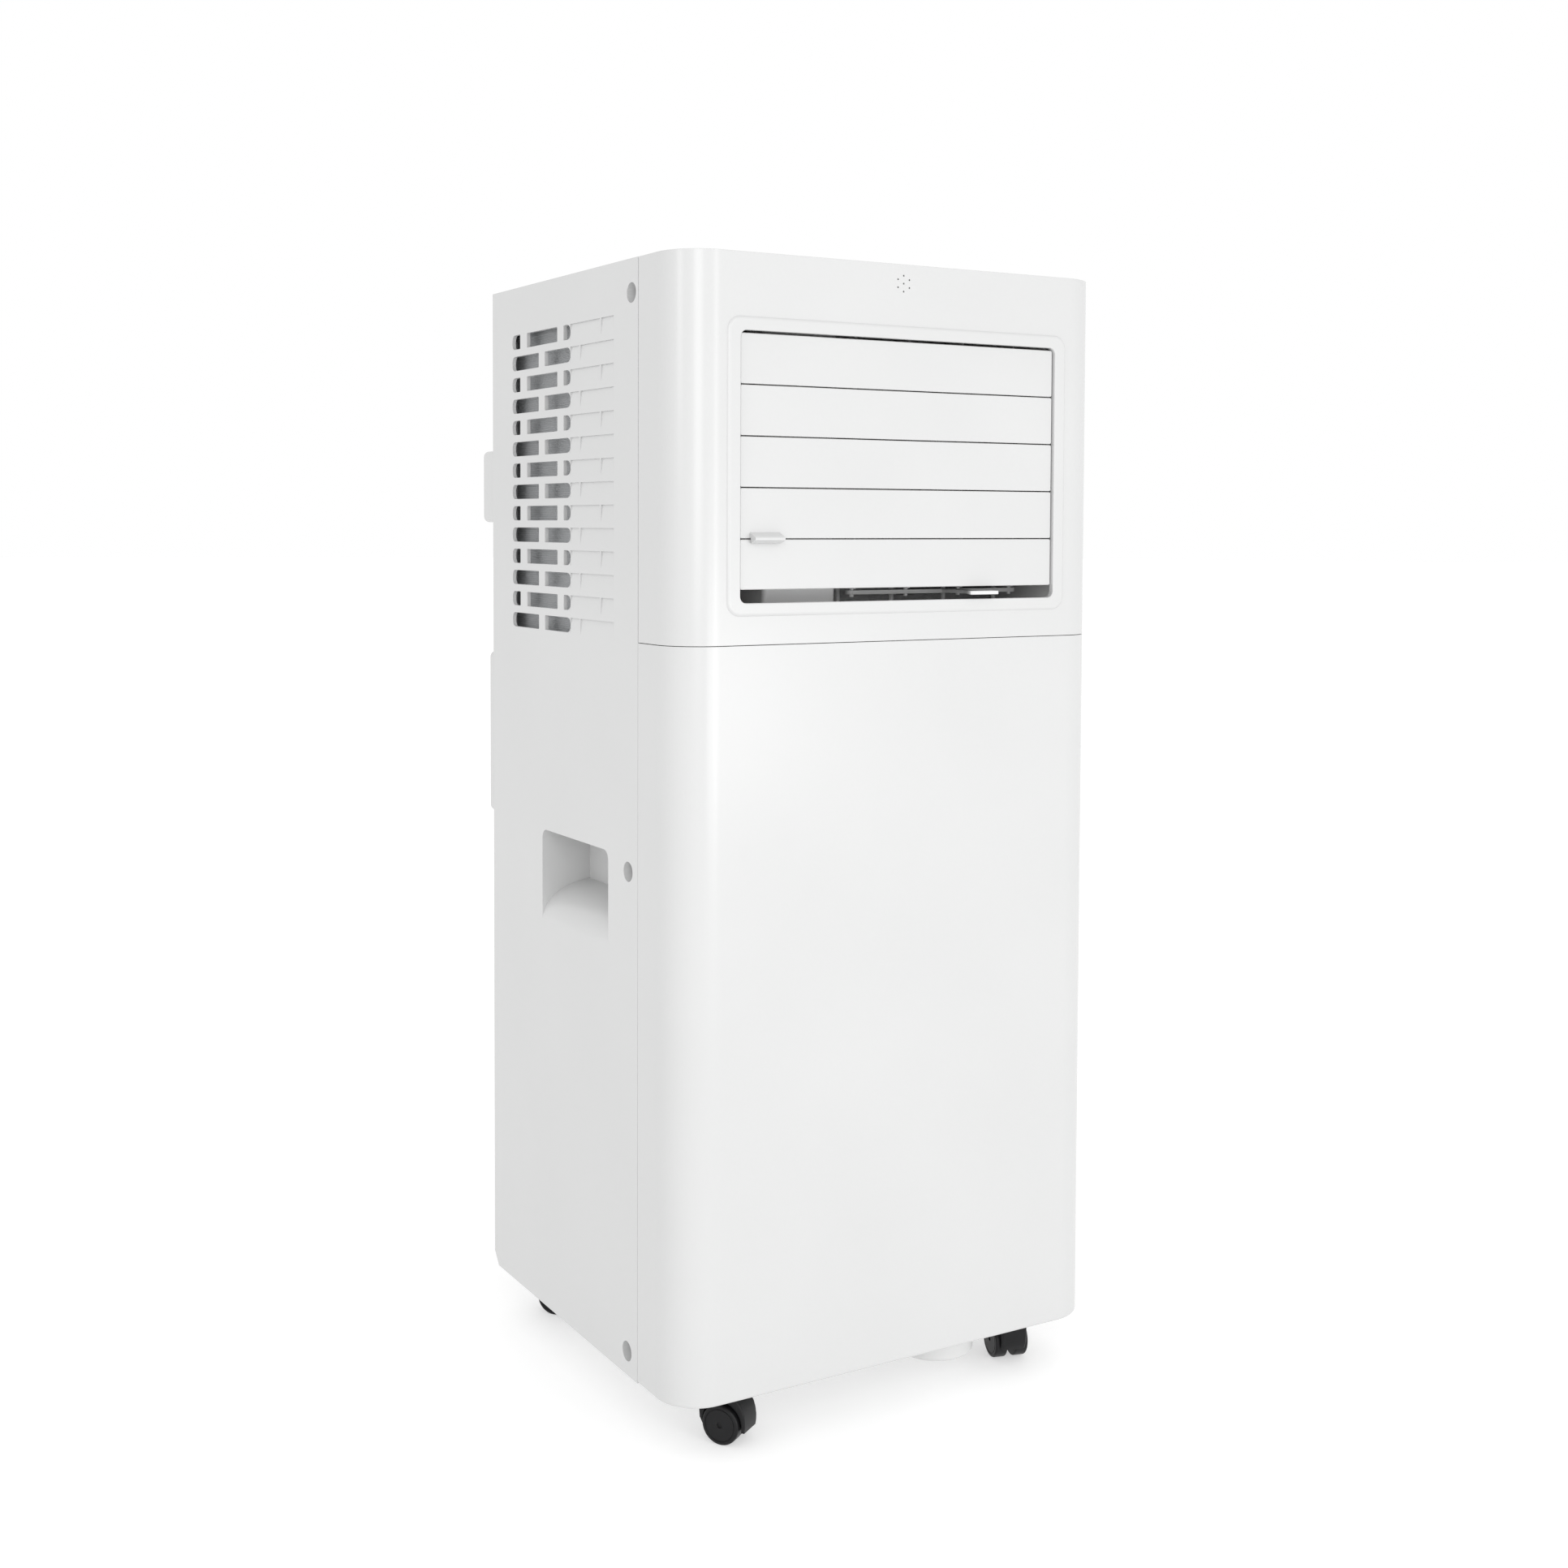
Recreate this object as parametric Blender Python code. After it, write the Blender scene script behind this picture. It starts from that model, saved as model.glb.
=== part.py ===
"""Portable floor-standing air conditioner, modelled as the assembly it is built from.

Metres, +Z up, standing on Z = 0. +X is to the right when facing the louvre, the front faces -Y,
and the origin lies on the floor under the middle of the whole unit. A depth is a distance behind
the front face, which back() turns into a world Y.
"""
import math

import bmesh
import bpy
from mathutils import Matrix, Vector

# ---- driving dimensions ------------------------------------------------------------------------
WIDTH = 0.305            # casing, side to side
DEPTH = 0.273            # casing, front face to rear wall
HEIGHT = 0.700           # floor to the rim of the casing
FOOT = 0.033             # floor to the underside of the casing
TAB_PROUD = 0.006        # finger tabs in front of the front face
GRIP_PROUD = 0.025       # filter grips behind the rear wall
CORNER_R = 0.027         # vertical front corners
WALL = 0.0025            # moulded wall
GAP = 0.0003             # assembly gap between touching pieces
FRONT_SHELL = 0.051      # depth of the wrap-round front panels
SEAM_Z = 0.475           # seam between the upper and lower front panels
RETURN_W = 0.0125        # rear return of each side panel
CORNER_CUT = (0.010, 0.011)   # slope across the lower rear corner, back and up
PAST = 0.002             # how far a cutter runs past the faces it opens
SHEET = 0.002            # thin inner walls

HALF_W = WIDTH / 2
FRONT_Y = TAB_PROUD - (TAB_PROUD + DEPTH + GRIP_PROUD) / 2
INNER_W = HALF_W - WALL

# louvre opening and its slats
OPEN_W = 0.2264
OPEN_Z0, OPEN_Z1 = 0.4994, 0.6554
RING_W = 0.2446
RING_Z0, RING_Z1 = 0.4913, 0.6638
RING_PROUD = 0.0012
RING_R, OPEN_R = 0.009, 0.004
SENSOR = (-0.001, 0.6885)     # rosette of small holes above the louvre, as (x, z)
SENSOR_R, SENSOR_HOLE_R = 0.0047, 0.0006
SLATS = 5
SLAT_PITCH = 0.0295
SLAT_H = 0.0289
SLAT_T = 0.002
SLAT_W = 0.2248
SLAT_TOP = 0.6540
SLAT_FACE = 0.0008       # depth of the slats' faces behind the front face
SLAT_CHAMFER = 0.0004
EAR_T = 0.002            # ears that carry the pivot and crank pins
CRANK_PIN_R, CRANK_HOLE_R = 0.0013, 0.0018
BAR_W = 0.0028           # half the width of the slats' link bar
BAR_END = 0.004          # link bar beyond its last pin
FINGER_TAB_X = (-0.106, -0.086)
PIVOT_DEPTH = 0.0120
PIN_R, PIN_HOLE_R = 0.0015, 0.0021
CRANK = 0.010
CRANK_ANGLE = math.radians(37.5)

# air duct behind the opening, and its upright vanes
DUCT_HALF = 0.1185
DUCT_Z0, DUCT_Z1 = 0.4970, 0.6600
DUCT_REAR = 0.066
VANES = 4
VANE_PITCH = 0.040
VANE_FIRST_X = -0.015
VANE_PIVOT = 0.050
VANE_CRANK = 0.016
VANE_DEPTHS = (0.030, 0.062)
VANE_T = 0.001           # half the thickness of a vane
VANE_BAR_Z = (0.5020, 0.5045)
BLOCK_X = (-0.080, -0.029)    # closed block beside the air way
BLOCK_FRONT = 0.030

# brick-pattern vents of the side panels
VENT_ROWS = 14
VENT_PITCH = 0.0141
VENT_H = 0.0094
VENT_TOP = 0.6690
VENT_ODD = ((0.147, 0.1555), (0.165, 0.213), (0.224, 0.237))
VENT_EVEN = ((0.147, 0.1845), (0.194, 0.237))

# grip recess of the side panels (front and rear end, bottom and top, depth), and the screw seats
GRIP_Y = (0.091, 0.189)
GRIP_Z = (0.2874, 0.3466)
GRIP_DEEP = 0.034
GRIP_HILL = (0.038, 0.0242)   # quarter ellipse of the recess's rounded floor, across and up
CUP_WALL = 0.002
SCREW_SEATS = ((0.0600, 0.680), (0.0640, 0.338), (0.0650, 0.0475))
SEAT_R = 0.006
SEAT_DEEP = 0.008

# rear of the casing
FILTER_Z = (0.4670, 0.6700)
PLINTH_Z = (0.3462, 0.4568)
GRILLE_Z = (0.070, 0.318)
PULL_Z = (0.5455, 0.5945)
PULL_X = (0.1180, 0.1495)
PULL_WALL, PULL_ROUND = 0.005, 0.004
PEG_X, PEG_Z = 0.1400, (0.5480, 0.5920)      # pegs that hold a finger pull to the filter cover
PEG_R, PEG_HOLE_R = 0.0014, 0.0019
COVER_HALF = 0.1495
COVER_R = 0.004
COVER_T = 0.0035
FILTER_WINDOW = (0.118, 0.480, 0.657)      # half width, bottom and top
FILTER_MESH = (0.1165, 0.4815, 0.6555)
GRILLE_WINDOW = (0.105, 0.080, 0.308)
GRILLE_HALF, GRILLE_T = 0.112, 0.003
OUTLET_Z = 0.4015        # middle of the oblong hose outlet
OUTLET_HALF = (0.0920, 0.0435)
COLLAR_WALL = 0.0025
PLINTH_PROUD = 0.012
GLAND = (0.122, 0.056)
GLAND_R, GLAND_BORE_R = 0.0060, 0.0035
DRAIN = (-0.030, 0.056)
PLUG_R = 0.0080

# castors: stem position, wheel and trail
STEM_X = 0.109
STEM_FRONT, STEM_REAR = 0.0305, 0.2425
STEM_R = 0.0038
WHEEL_R = 0.012
TRAIL = 0.007
WHEEL_SIDES = 20
AXLE_R = 0.0015
WELL_GAP = 0.0012        # hood to wheel
HOOD_HALF, FIN_HALF = 0.0085, 0.0025
CASTOR_TRAILS = {"fl": (0.545, -0.838), "fr": (0.26, 0.966), "rl": (-0.60, 0.80), "rr": (0.50, 0.866)}

# sump under the base
SUMP = (0.059, 0.046)
SUMP_R = 0.0275
SUMP_Z = 0.013

# controls set into the lid
LID_TOP = HEIGHT - 0.0008
LID_T = 0.0028
SKIRT_Z = HEIGHT - 0.010
PANEL_TOP = HEIGHT - 0.0012
PANEL_T = 0.003
PANEL_WINDOW = (0.072, 0.022, 0.080, 0.006)     # half width, front and rear depth, corner
LENS_WINDOW = (0.026, 0.030, 0.048, 0.003)
BUTTON_DEPTH = 0.064
BUTTON_R, BUTTON_HOLE_R, BUTTON_SKIRT_R = 0.0058, 0.0062, 0.0072
BUTTON_PROUD = 0.0008
BUTTONS = {"power_button": -0.050, "mode_button": -0.025, "fan_button": 0.0,
           "temp_down_button": 0.025, "temp_up_button": 0.050}

# fans, as (x, z) of the shaft
COOL_FAN = (0.0, 0.578)
COOL_R = 0.070
COOL_DRUM_R, COOL_INLET_R = 0.0900, 0.0600
COOL_REAR = 0.132
HOT_FAN = (0.0, 0.228)
HOT_R = 0.080
HOT_DRUM_R, HOT_INLET_R = 0.0970, 0.0700
HOT_DEPTHS = (0.140, 0.212)
BLADES = 14
BLADE_DEEP = 0.014       # radial room of a blade
BLADE_TILT = -24
RIM_T = 0.003
DRUM_SIDES = 32

# cooling circuit
COIL_HALF = 0.112
COMPRESSOR = (0.050, 0.082)   # upright axis, as x and depth
ACCUMULATOR = (-0.030, 0.082)
SIDE_FILTER_X = (0.1400, 0.1430)

ARC_STEPS = 6            # segments in a quarter of a casing corner


# ---- finishes ----------------------------------------------------------------------------------
FINISHES = {
    "white_gloss": ((0.86, 0.87, 0.87, 1), 0.22, 0.0),
    "white_satin": ((0.80, 0.81, 0.81, 1), 0.45, 0.0),
    "black_plastic": ((0.02, 0.02, 0.022, 1), 0.35, 0.0),
    "dark_lens": ((0.03, 0.035, 0.04, 1), 0.08, 0.0),
    "grey_mesh": ((0.28, 0.29, 0.30, 1), 0.7, 0.0),
    "aluminium_fin": ((0.72, 0.73, 0.74, 1), 0.35, 1.0),
    "copper": ((0.78, 0.42, 0.26, 1), 0.3, 1.0),
    "black_steel": ((0.03, 0.03, 0.035, 1), 0.4, 0.3),
    "zinc_steel": ((0.62, 0.63, 0.64, 1), 0.35, 1.0),
    "board_green": ((0.04, 0.22, 0.10, 1), 0.5, 0.0),
    "foam_grey": ((0.55, 0.56, 0.57, 1), 0.8, 0.0),
}


def finish(name):
    """The Principled material of this name, made on first use."""
    made = bpy.data.materials.get(name)
    if made:
        return made
    colour, roughness, metallic = FINISHES[name]
    made = bpy.data.materials.new(name)
    made.use_nodes = True
    shader = made.node_tree.nodes["Principled BSDF"]
    shader.inputs["Base Color"].default_value = colour
    shader.inputs["Roughness"].default_value = roughness
    shader.inputs["Metallic"].default_value = metallic
    made.diffuse_color = colour
    return made


# ---- shape helpers -----------------------------------------------------------------------------
AXES = {"X": 0, "Y": 1, "Z": 2}


def back(depth):
    """World Y of a place this far behind the front face."""
    return FRONT_Y + depth


def closed_up(bm):
    """Faces turned outwards."""
    bmesh.ops.recalc_face_normals(bm, faces=bm.faces)
    return bm


def box(lo, hi, chamfer=0.0):
    """An upright box between two corners, its edges chamfered if asked."""
    bm = bmesh.new()
    size = [abs(h - l) for l, h in zip(lo, hi)]
    middle = [(h + l) / 2 for l, h in zip(lo, hi)]
    place = Matrix.Translation(middle) @ Matrix.Diagonal((*size, 1))
    bmesh.ops.create_cube(bm, size=1, matrix=place)
    if chamfer:
        bmesh.ops.bevel(bm, geom=bm.edges, offset=chamfer, segments=1, affect="EDGES")
    return closed_up(bm)


def prism(outline, axis, lo, hi):
    """An outline of (a, b) points drawn across the axis, swept along it from lo to hi."""
    along = AXES[axis]
    across = [i for i in range(3) if i != along]
    bm = bmesh.new()
    points = []
    for a, b in outline:
        co = [0.0, 0.0, 0.0]
        co[along], co[across[0]], co[across[1]] = lo, a, b
        points.append(bm.verts.new(co))
    face = bm.faces.new(points)
    pushed = bmesh.ops.extrude_face_region(bm, geom=[face])
    step = [0.0, 0.0, 0.0]
    step[along] = hi - lo
    moved = [v for v in pushed["geom"] if isinstance(v, bmesh.types.BMVert)]
    bmesh.ops.translate(bm, verts=moved, vec=step)
    return closed_up(bm)


def cylinder(centre, axis, r, lo, hi, sides=16, r_hi=None):
    """A round bar or cone along an axis; centre gives the two coordinates across it, in X, Y, Z order."""
    along = AXES[axis]
    across = [i for i in range(3) if i != along]
    middle = [0.0, 0.0, 0.0]
    middle[along], middle[across[0]], middle[across[1]] = (lo + hi) / 2, *centre
    turn = {"X": Matrix.Rotation(math.pi / 2, 4, "Y"),
            "Y": Matrix.Rotation(-math.pi / 2, 4, "X"),
            "Z": Matrix()}
    place = Matrix.Translation(middle) @ turn[axis]
    bm = bmesh.new()
    bmesh.ops.create_cone(bm, cap_ends=True, segments=sides, radius1=r,
                          radius2=r if r_hi is None else r_hi, depth=hi - lo, matrix=place)
    return closed_up(bm)


def lathe(profile, centre, steps=24):
    """A profile of (radius, height) points, both ends on the axis, turned about a vertical line."""
    bm = bmesh.new()
    verts = [bm.verts.new((centre[0] + r, centre[1], z)) for r, z in profile]
    edges = [bm.edges.new(pair) for pair in zip(verts, verts[1:])]
    bmesh.ops.spin(bm, geom=verts + edges, cent=(*centre, 0), axis=(0, 0, 1),
                   angle=2 * math.pi, steps=steps)
    bmesh.ops.remove_doubles(bm, verts=bm.verts, dist=1e-6)
    return closed_up(bm)


def arc(centre, r, start, end, steps=ARC_STEPS):
    """Points on an arc, angles in degrees."""
    turns = [math.radians(start + (end - start) * k / steps) for k in range(steps + 1)]
    return [(centre[0] + r * math.cos(t), centre[1] + r * math.sin(t)) for t in turns]


def rounded(x0, x1, z0, z1, r, steps=3):
    """A rectangle with round corners, anticlockwise."""
    return (arc((x1 - r, z0 + r), r, -90, 0, steps) + arc((x1 - r, z1 - r), r, 0, 90, steps)
            + arc((x0 + r, z1 - r), r, 90, 180, steps) + arc((x0 + r, z0 + r), r, 180, 270, steps))


def across(side, near, far):
    """X range between two distances from the middle plane, on the left (-1) or right (1)."""
    return sorted((side * near, side * far))


def window(half, front, rear, r, shrink=0.0):
    """Plan of a rounded opening in the lid, or of what fills it with a gap all round."""
    return rounded(shrink - half, half - shrink, back(front + shrink), back(rear - shrink), r - shrink)


def oblong(grow=0.0):
    """Section of the hose outlet, or of the collar round it."""
    half_w, half_h = OUTLET_HALF[0] + grow, OUTLET_HALF[1] + grow
    return rounded(-half_w, half_w, OUTLET_Z - half_h, OUTLET_Z + half_h, half_h - 0.0005, 6)


def casing_front(inset, rear):
    """Half-loop of the casing's plan: from the left side round the front to the right side."""
    r = CORNER_R - inset
    left, front = -HALF_W + CORNER_R, back(CORNER_R)
    return ([(-HALF_W + inset, back(rear))] + arc((left, front), r, 180, 270)
            + arc((-left, front), r, 270, 360) + [(HALF_W - inset, back(rear))])


def node(name, bm, look, origin=(0, 0, 0), parent=None, smooth=False):
    """A named sub-part; its origin is set where it turns, slides or is fixed."""
    bmesh.ops.translate(bm, verts=bm.verts, vec=-Vector(origin))
    mesh = bpy.data.meshes.new(name)
    bm.to_mesh(mesh)
    bm.free()
    made = bpy.data.objects.new(name, mesh)
    made.location = Vector(origin)
    bpy.context.scene.collection.objects.link(made)
    made.data.materials.append(finish(look))
    if smooth:
        mesh.shade_smooth()
        mesh.set_sharp_from_angle(angle=math.radians(35))
    if parent:
        made.parent = parent
        made.location = Vector(origin) - parent.location
    return made


def tool(bm, name):
    """A hidden helper that only cuts or adds to another object."""
    mesh = bpy.data.meshes.new(name)
    bm.to_mesh(mesh)
    bm.free()
    made = bpy.data.objects.new(name, mesh)
    bpy.context.scene.collection.objects.link(made)
    made.hide_render = True
    made.display_type = "WIRE"
    return made


def boolean(obj, operation, shapes):
    """Adds or cuts each shape in turn."""
    for number, shape in enumerate(shapes):
        helper = tool(shape, f"{obj.name}_{operation.lower()}_{number}")
        step = obj.modifiers.new(helper.name, "BOOLEAN")
        step.operation = operation
        step.object = helper
    return obj


def add(obj, *shapes):
    return boolean(obj, "UNION", shapes)


def cut(obj, *shapes):
    return boolean(obj, "DIFFERENCE", shapes)


def together(shapes):
    """Separate closed shapes in one mesh, for a cutter that makes many holes at once."""
    whole = bmesh.new()
    for shape in shapes:
        mesh = bpy.data.meshes.new("piece")
        shape.to_mesh(mesh)
        shape.free()
        whole.from_mesh(mesh)
        bpy.data.meshes.remove(mesh)
    return whole


def empty(name, place, parent=None):
    """An assembly's anchor."""
    made = bpy.data.objects.new(name, None)
    made.location = Vector(place) - (parent.location if parent else Vector())
    bpy.context.scene.collection.objects.link(made)
    made.parent = parent
    return made


# ---- casing ------------------------------------------------------------------------------------
def front_panels():
    """Upper and lower wrap-round front panels, with the louvre's frame and mouth."""
    plan = casing_front(0, FRONT_SHELL) + casing_front(WALL, FRONT_SHELL)[::-1]
    node("front_panel_lower", prism(plan, "Z", FOOT, SEAM_Z - GAP / 2), "white_gloss")

    upper = node("front_panel_upper", prism(plan, "Z", SEAM_Z + GAP / 2, HEIGHT), "white_gloss")
    ring = rounded(-RING_W / 2, RING_W / 2, RING_Z0, RING_Z1, RING_R)
    mouth = rounded(-OPEN_W / 2, OPEN_W / 2, OPEN_Z0, OPEN_Z1, OPEN_R)
    spots = [SENSOR] + arc(SENSOR, SENSOR_R, 30, 330, 5)
    holes = [cylinder(spot, "Y", SENSOR_HOLE_R, back(-PAST), back(WALL + PAST), sides=6)
             for spot in spots]
    add(upper, prism(ring, "Y", back(-RING_PROUD), back(WALL / 2)))
    cut(upper, prism(mouth, "Y", back(-RING_PROUD - PAST), back(WALL + PAST)), together(holes))


def vent_slots(side):
    """All open bricks of one side panel, as one cutter."""
    slots = []
    x0, x1 = across(side, INNER_W - PAST, HALF_W + PAST)
    for row in range(VENT_ROWS):
        top = VENT_TOP - row * VENT_PITCH
        for front, rear in VENT_EVEN if row % 2 else VENT_ODD:
            slots.append(box((x0, back(front), top - VENT_H), (x1, back(rear), top)))
    return together(slots)


def grip_profile(side, grow):
    """Section of the grip recess across Y: its floor rises inwards from the wall over a rounded hill."""
    z0, z1 = GRIP_Z[0] - grow, GRIP_Z[1] + grow
    deep = GRIP_DEEP + grow
    reach, rise = GRIP_HILL
    steps = 5
    crest = math.acos(1 - GRIP_DEEP / reach)
    hill = []
    for k in range(steps + 1):
        turn = crest * k / steps
        hill.append((reach - (reach - grow) * math.cos(turn), GRIP_Z[0] + (rise - grow) * math.sin(turn)))
    section = [(-2 * PAST, z0), (-2 * PAST, z1), (deep, z1)]
    if grow:
        section.append((deep, hill[-1][1]))
    section += hill[::-1]
    return [(side * (HALF_W - d), z) for d, z in section]


def side_panel(name, side):
    """A side wall with its rear return, vents, grip recess and three screw seats."""
    inner, lip = side * INNER_W, side * (HALF_W - RETURN_W)
    front, rear = back(FRONT_SHELL + GAP), back(DEPTH)
    outline = [(side * HALF_W, front), (side * HALF_W, rear), (lip, rear), (lip, rear - WALL),
               (inner, rear - WALL), (inner, front)]
    panel = node(name, prism(outline, "Z", FOOT, HEIGHT), "white_gloss")

    cup = prism(grip_profile(side, CUP_WALL), "Y", back(GRIP_Y[0] - CUP_WALL),
                back(GRIP_Y[1] + CUP_WALL))
    boss_x = across(side, HALF_W - SEAT_DEEP - SHEET, HALF_W - WALL / 2)
    bosses = [cylinder((back(depth), z), "X", SEAT_R + SHEET, *boss_x) for depth, z in SCREW_SEATS]
    add(panel, cup, together(bosses))

    out = across(side, HALF_W, HALF_W + 3 * PAST)
    outside = box((out[0], back(0), GRIP_Z[0] - 0.05), (out[1], rear, GRIP_Z[1] + 0.05))
    recess = prism(grip_profile(side, 0), "Y", back(GRIP_Y[0]), back(GRIP_Y[1]))
    seat_x = across(side, HALF_W - SEAT_DEEP, HALF_W + PAST)
    seats = [cylinder((back(depth), z), "X", SEAT_R, *seat_x) for depth, z in SCREW_SEATS]
    slope = [(rear - CORNER_CUT[0], FOOT - 0.001), (rear + PAST, FOOT - 0.001),
             (rear + PAST, FOOT + CORNER_CUT[1])]
    corner = prism(slope, "X", *across(side, HALF_W - RETURN_W - PAST, HALF_W + PAST))
    cut(panel, outside, recess, together(seats), vent_slots(side), corner)


def rear_panel():
    """Flat rear wall between the side returns, open for both intakes, the outlet, cord and drain."""
    edge = HALF_W - RETURN_W - GAP
    wall = box((-edge, back(DEPTH - WALL), FOOT + 0.012), (edge, back(DEPTH), HEIGHT))
    panel = node("rear_panel", wall, "white_gloss")
    through = (back(DEPTH - WALL - PAST), back(DEPTH + PAST))
    windows = [box((-half, through[0], z0), (half, through[1], z1))
               for half, z0, z1 in (FILTER_WINDOW, GRILLE_WINDOW)]
    windows.append(prism(oblong(), "Y", *through))
    windows.append(cylinder(GLAND, "Y", GLAND_R + 0.0005, *through))
    windows.append(cylinder(DRAIN, "Y", PLUG_R + 0.0005, *through))
    cut(panel, together(windows))


def top_cover():
    """Lid set inside the casing's rim, with a window for the controls and a hanging skirt."""
    inset = WALL + GAP
    plan = casing_front(inset, DEPTH - inset)
    inner = casing_front(inset + SHEET, DEPTH - inset - SHEET)
    lid = node("top_cover", prism(plan, "Z", SKIRT_Z, LID_TOP), "white_gloss")
    cut(lid, prism(inner, "Z", SKIRT_Z - PAST, LID_TOP - LID_T),
        prism(window(*PANEL_WINDOW), "Z", SKIRT_Z - PAST, LID_TOP + PAST))


# ---- controls ----------------------------------------------------------------------------------
def controls():
    """Control panel with its board, display lens and five sprung buttons."""
    under, over = PANEL_TOP - PANEL_T - PAST, PANEL_TOP + PAST
    plate = node("control_panel", prism(window(*PANEL_WINDOW, GAP), "Z", PANEL_TOP - PANEL_T, PANEL_TOP),
                 "white_satin")
    holes = [cylinder((x, back(BUTTON_DEPTH)), "Z", BUTTON_HOLE_R, under, over)
             for x in BUTTONS.values()]
    cut(plate, together(holes), prism(window(*LENS_WINDOW), "Z", under, over))
    node("display_lens", prism(window(*LENS_WINDOW, GAP), "Z", PANEL_TOP - 0.0026, PANEL_TOP - 0.0002),
         "dark_lens")
    board_top = PANEL_TOP - 0.0124
    node("control_board", box((-0.066, back(0.026), board_top - 0.0016), (0.066, back(0.076), board_top)),
         "board_green")
    for name, x in BUTTONS.items():
        place = (x, back(BUTTON_DEPTH))
        origin = (*place, PANEL_TOP)
        cap = cylinder(place, "Z", BUTTON_R, PANEL_TOP - 0.006, PANEL_TOP + BUTTON_PROUD)
        button = node(name, cap, "white_satin", origin, smooth=True)
        skirt = cylinder(place, "Z", BUTTON_SKIRT_R, PANEL_TOP - 0.0085, PANEL_TOP - 0.0045)
        add_here(button, origin, skirt)


# ---- louvre ------------------------------------------------------------------------------------
def slat_height(number):
    """Height of a slat's middle, which is also its pivot's."""
    return SLAT_TOP - SLAT_H / 2 - number * SLAT_PITCH


def crank_place(number):
    """Crank pin of a slat, as (y, z)."""
    return (back(PIVOT_DEPTH) + CRANK * math.cos(CRANK_ANGLE),
            slat_height(number) + CRANK * math.sin(CRANK_ANGLE))


def local(shapes, origin):
    """Shapes moved into an object's own space."""
    for shape in shapes:
        bmesh.ops.translate(shape, verts=shape.verts, vec=-Vector(origin))
    return shapes


def boolean_here(obj, origin, operation, shapes):
    """Adds or cuts shapes given in world space on an object whose origin is elsewhere."""
    for shape in local(shapes, origin):
        helper = tool(shape, f"{obj.name}_tool_{len(obj.modifiers)}")
        helper.parent = obj
        step = obj.modifiers.new(helper.name, "BOOLEAN")
        step.operation = operation
        step.object = helper
    return obj


def add_here(obj, origin, *shapes):
    return boolean_here(obj, origin, "UNION", shapes)


def cut_here(obj, origin, *shapes):
    return boolean_here(obj, origin, "DIFFERENCE", shapes)


def slat(number, parent):
    """One horizontal slat: face plate, an ear at each end, pivot pins, and the crank pin on the left."""
    z, y = slat_height(number), back(PIVOT_DEPTH)
    y_pin, z_pin = crank_place(number)
    origin = (0, y, z)
    face, rear = back(SLAT_FACE), back(SLAT_FACE + SLAT_T)
    half = SLAT_W / 2
    low, high = z - SLAT_H / 2, z + SLAT_H / 2
    made = node(f"louvre_slat_{number + 1}", box((-half, face, low), (half, rear, high), SLAT_CHAMFER),
                "white_gloss", origin, parent)

    root = rear - 0.0008
    ear = [(root, z - 0.007), (y, z - 0.0035), (y + 0.004, z), (root, z + 0.007)]
    crank_ear = [(root, z - 0.007), (y, z - 0.0035), (y_pin + 0.0025, z_pin - 0.001),
                 (y_pin, z_pin + 0.0025), (root, z + 0.010)]
    ear_x = (half - 0.0005 - EAR_T, half - 0.0005)
    pin_end, pin_root = DUCT_HALF + SHEET, half - EAR_T
    add_here(made, origin,
             prism(crank_ear, "X", -ear_x[1], -ear_x[0]),
             prism(ear, "X", *ear_x),
             cylinder((y, z), "X", PIN_R, -pin_end, -pin_root, sides=8),
             cylinder((y, z), "X", PIN_R, pin_root, pin_end, sides=8),
             cylinder((y_pin, z_pin), "X", CRANK_PIN_R, -half - 0.0045, -pin_root, sides=8))
    if number == SLATS - 2:
        tip = back(-TAB_PROUD)
        tab = [(face + 0.001, low + 0.004), (tip, low + 0.0005), (tip, low - 0.0010),
               (face - 0.0006, low - 0.0030), (face - 0.0006, low + 0.0008),
               (face + 0.001, low + 0.0008)]
        add_here(made, origin, prism(tab, "X", *FINGER_TAB_X))


def slat_bar(parent):
    """Upright bar that joins the five crank pins; it hangs on the middle slat's pin."""
    half = SLAT_W / 2
    y, z_low = crank_place(SLATS - 1)
    z_high = crank_place(0)[1]
    origin = (-half - 0.003, *crank_place(2))
    strip = box((-half - 0.0040, y - BAR_W, z_low - BAR_END), (-half - 0.0020, y + BAR_W, z_high + BAR_END))
    bar = node("slat_link_bar", strip, "white_satin", origin, parent)
    holes = [cylinder(crank_place(k), "X", CRANK_HOLE_R, -half - 0.006, -half, sides=8)
             for k in range(SLATS)]
    cut_here(bar, origin, together(holes))


def vane_x(number):
    return VANE_FIRST_X + number * VANE_PITCH


def vane(number, parent):
    """One upright vane with pins into the duct and a crank pin under its front edge."""
    x, y = vane_x(number), back(VANE_PIVOT)
    origin = (x, y, (DUCT_Z0 + DUCT_Z1) / 2)
    plate = box((x - VANE_T, back(VANE_DEPTHS[0]), DUCT_Z0 + 0.0085),
                (x + VANE_T, back(VANE_DEPTHS[1]), DUCT_Z1 - 0.001))
    blade = node(f"vane_{number + 1}", plate, "white_satin", origin, parent)
    pivot = cylinder((x, y), "Z", PIN_R, DUCT_Z0 - 0.0015, DUCT_Z1 + 0.0015, sides=8)
    crank = cylinder((x, y - VANE_CRANK), "Z", CRANK_PIN_R, DUCT_Z0 + 0.0035, DUCT_Z0 + 0.010, sides=8)
    add_here(blade, origin, pivot, crank)


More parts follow.
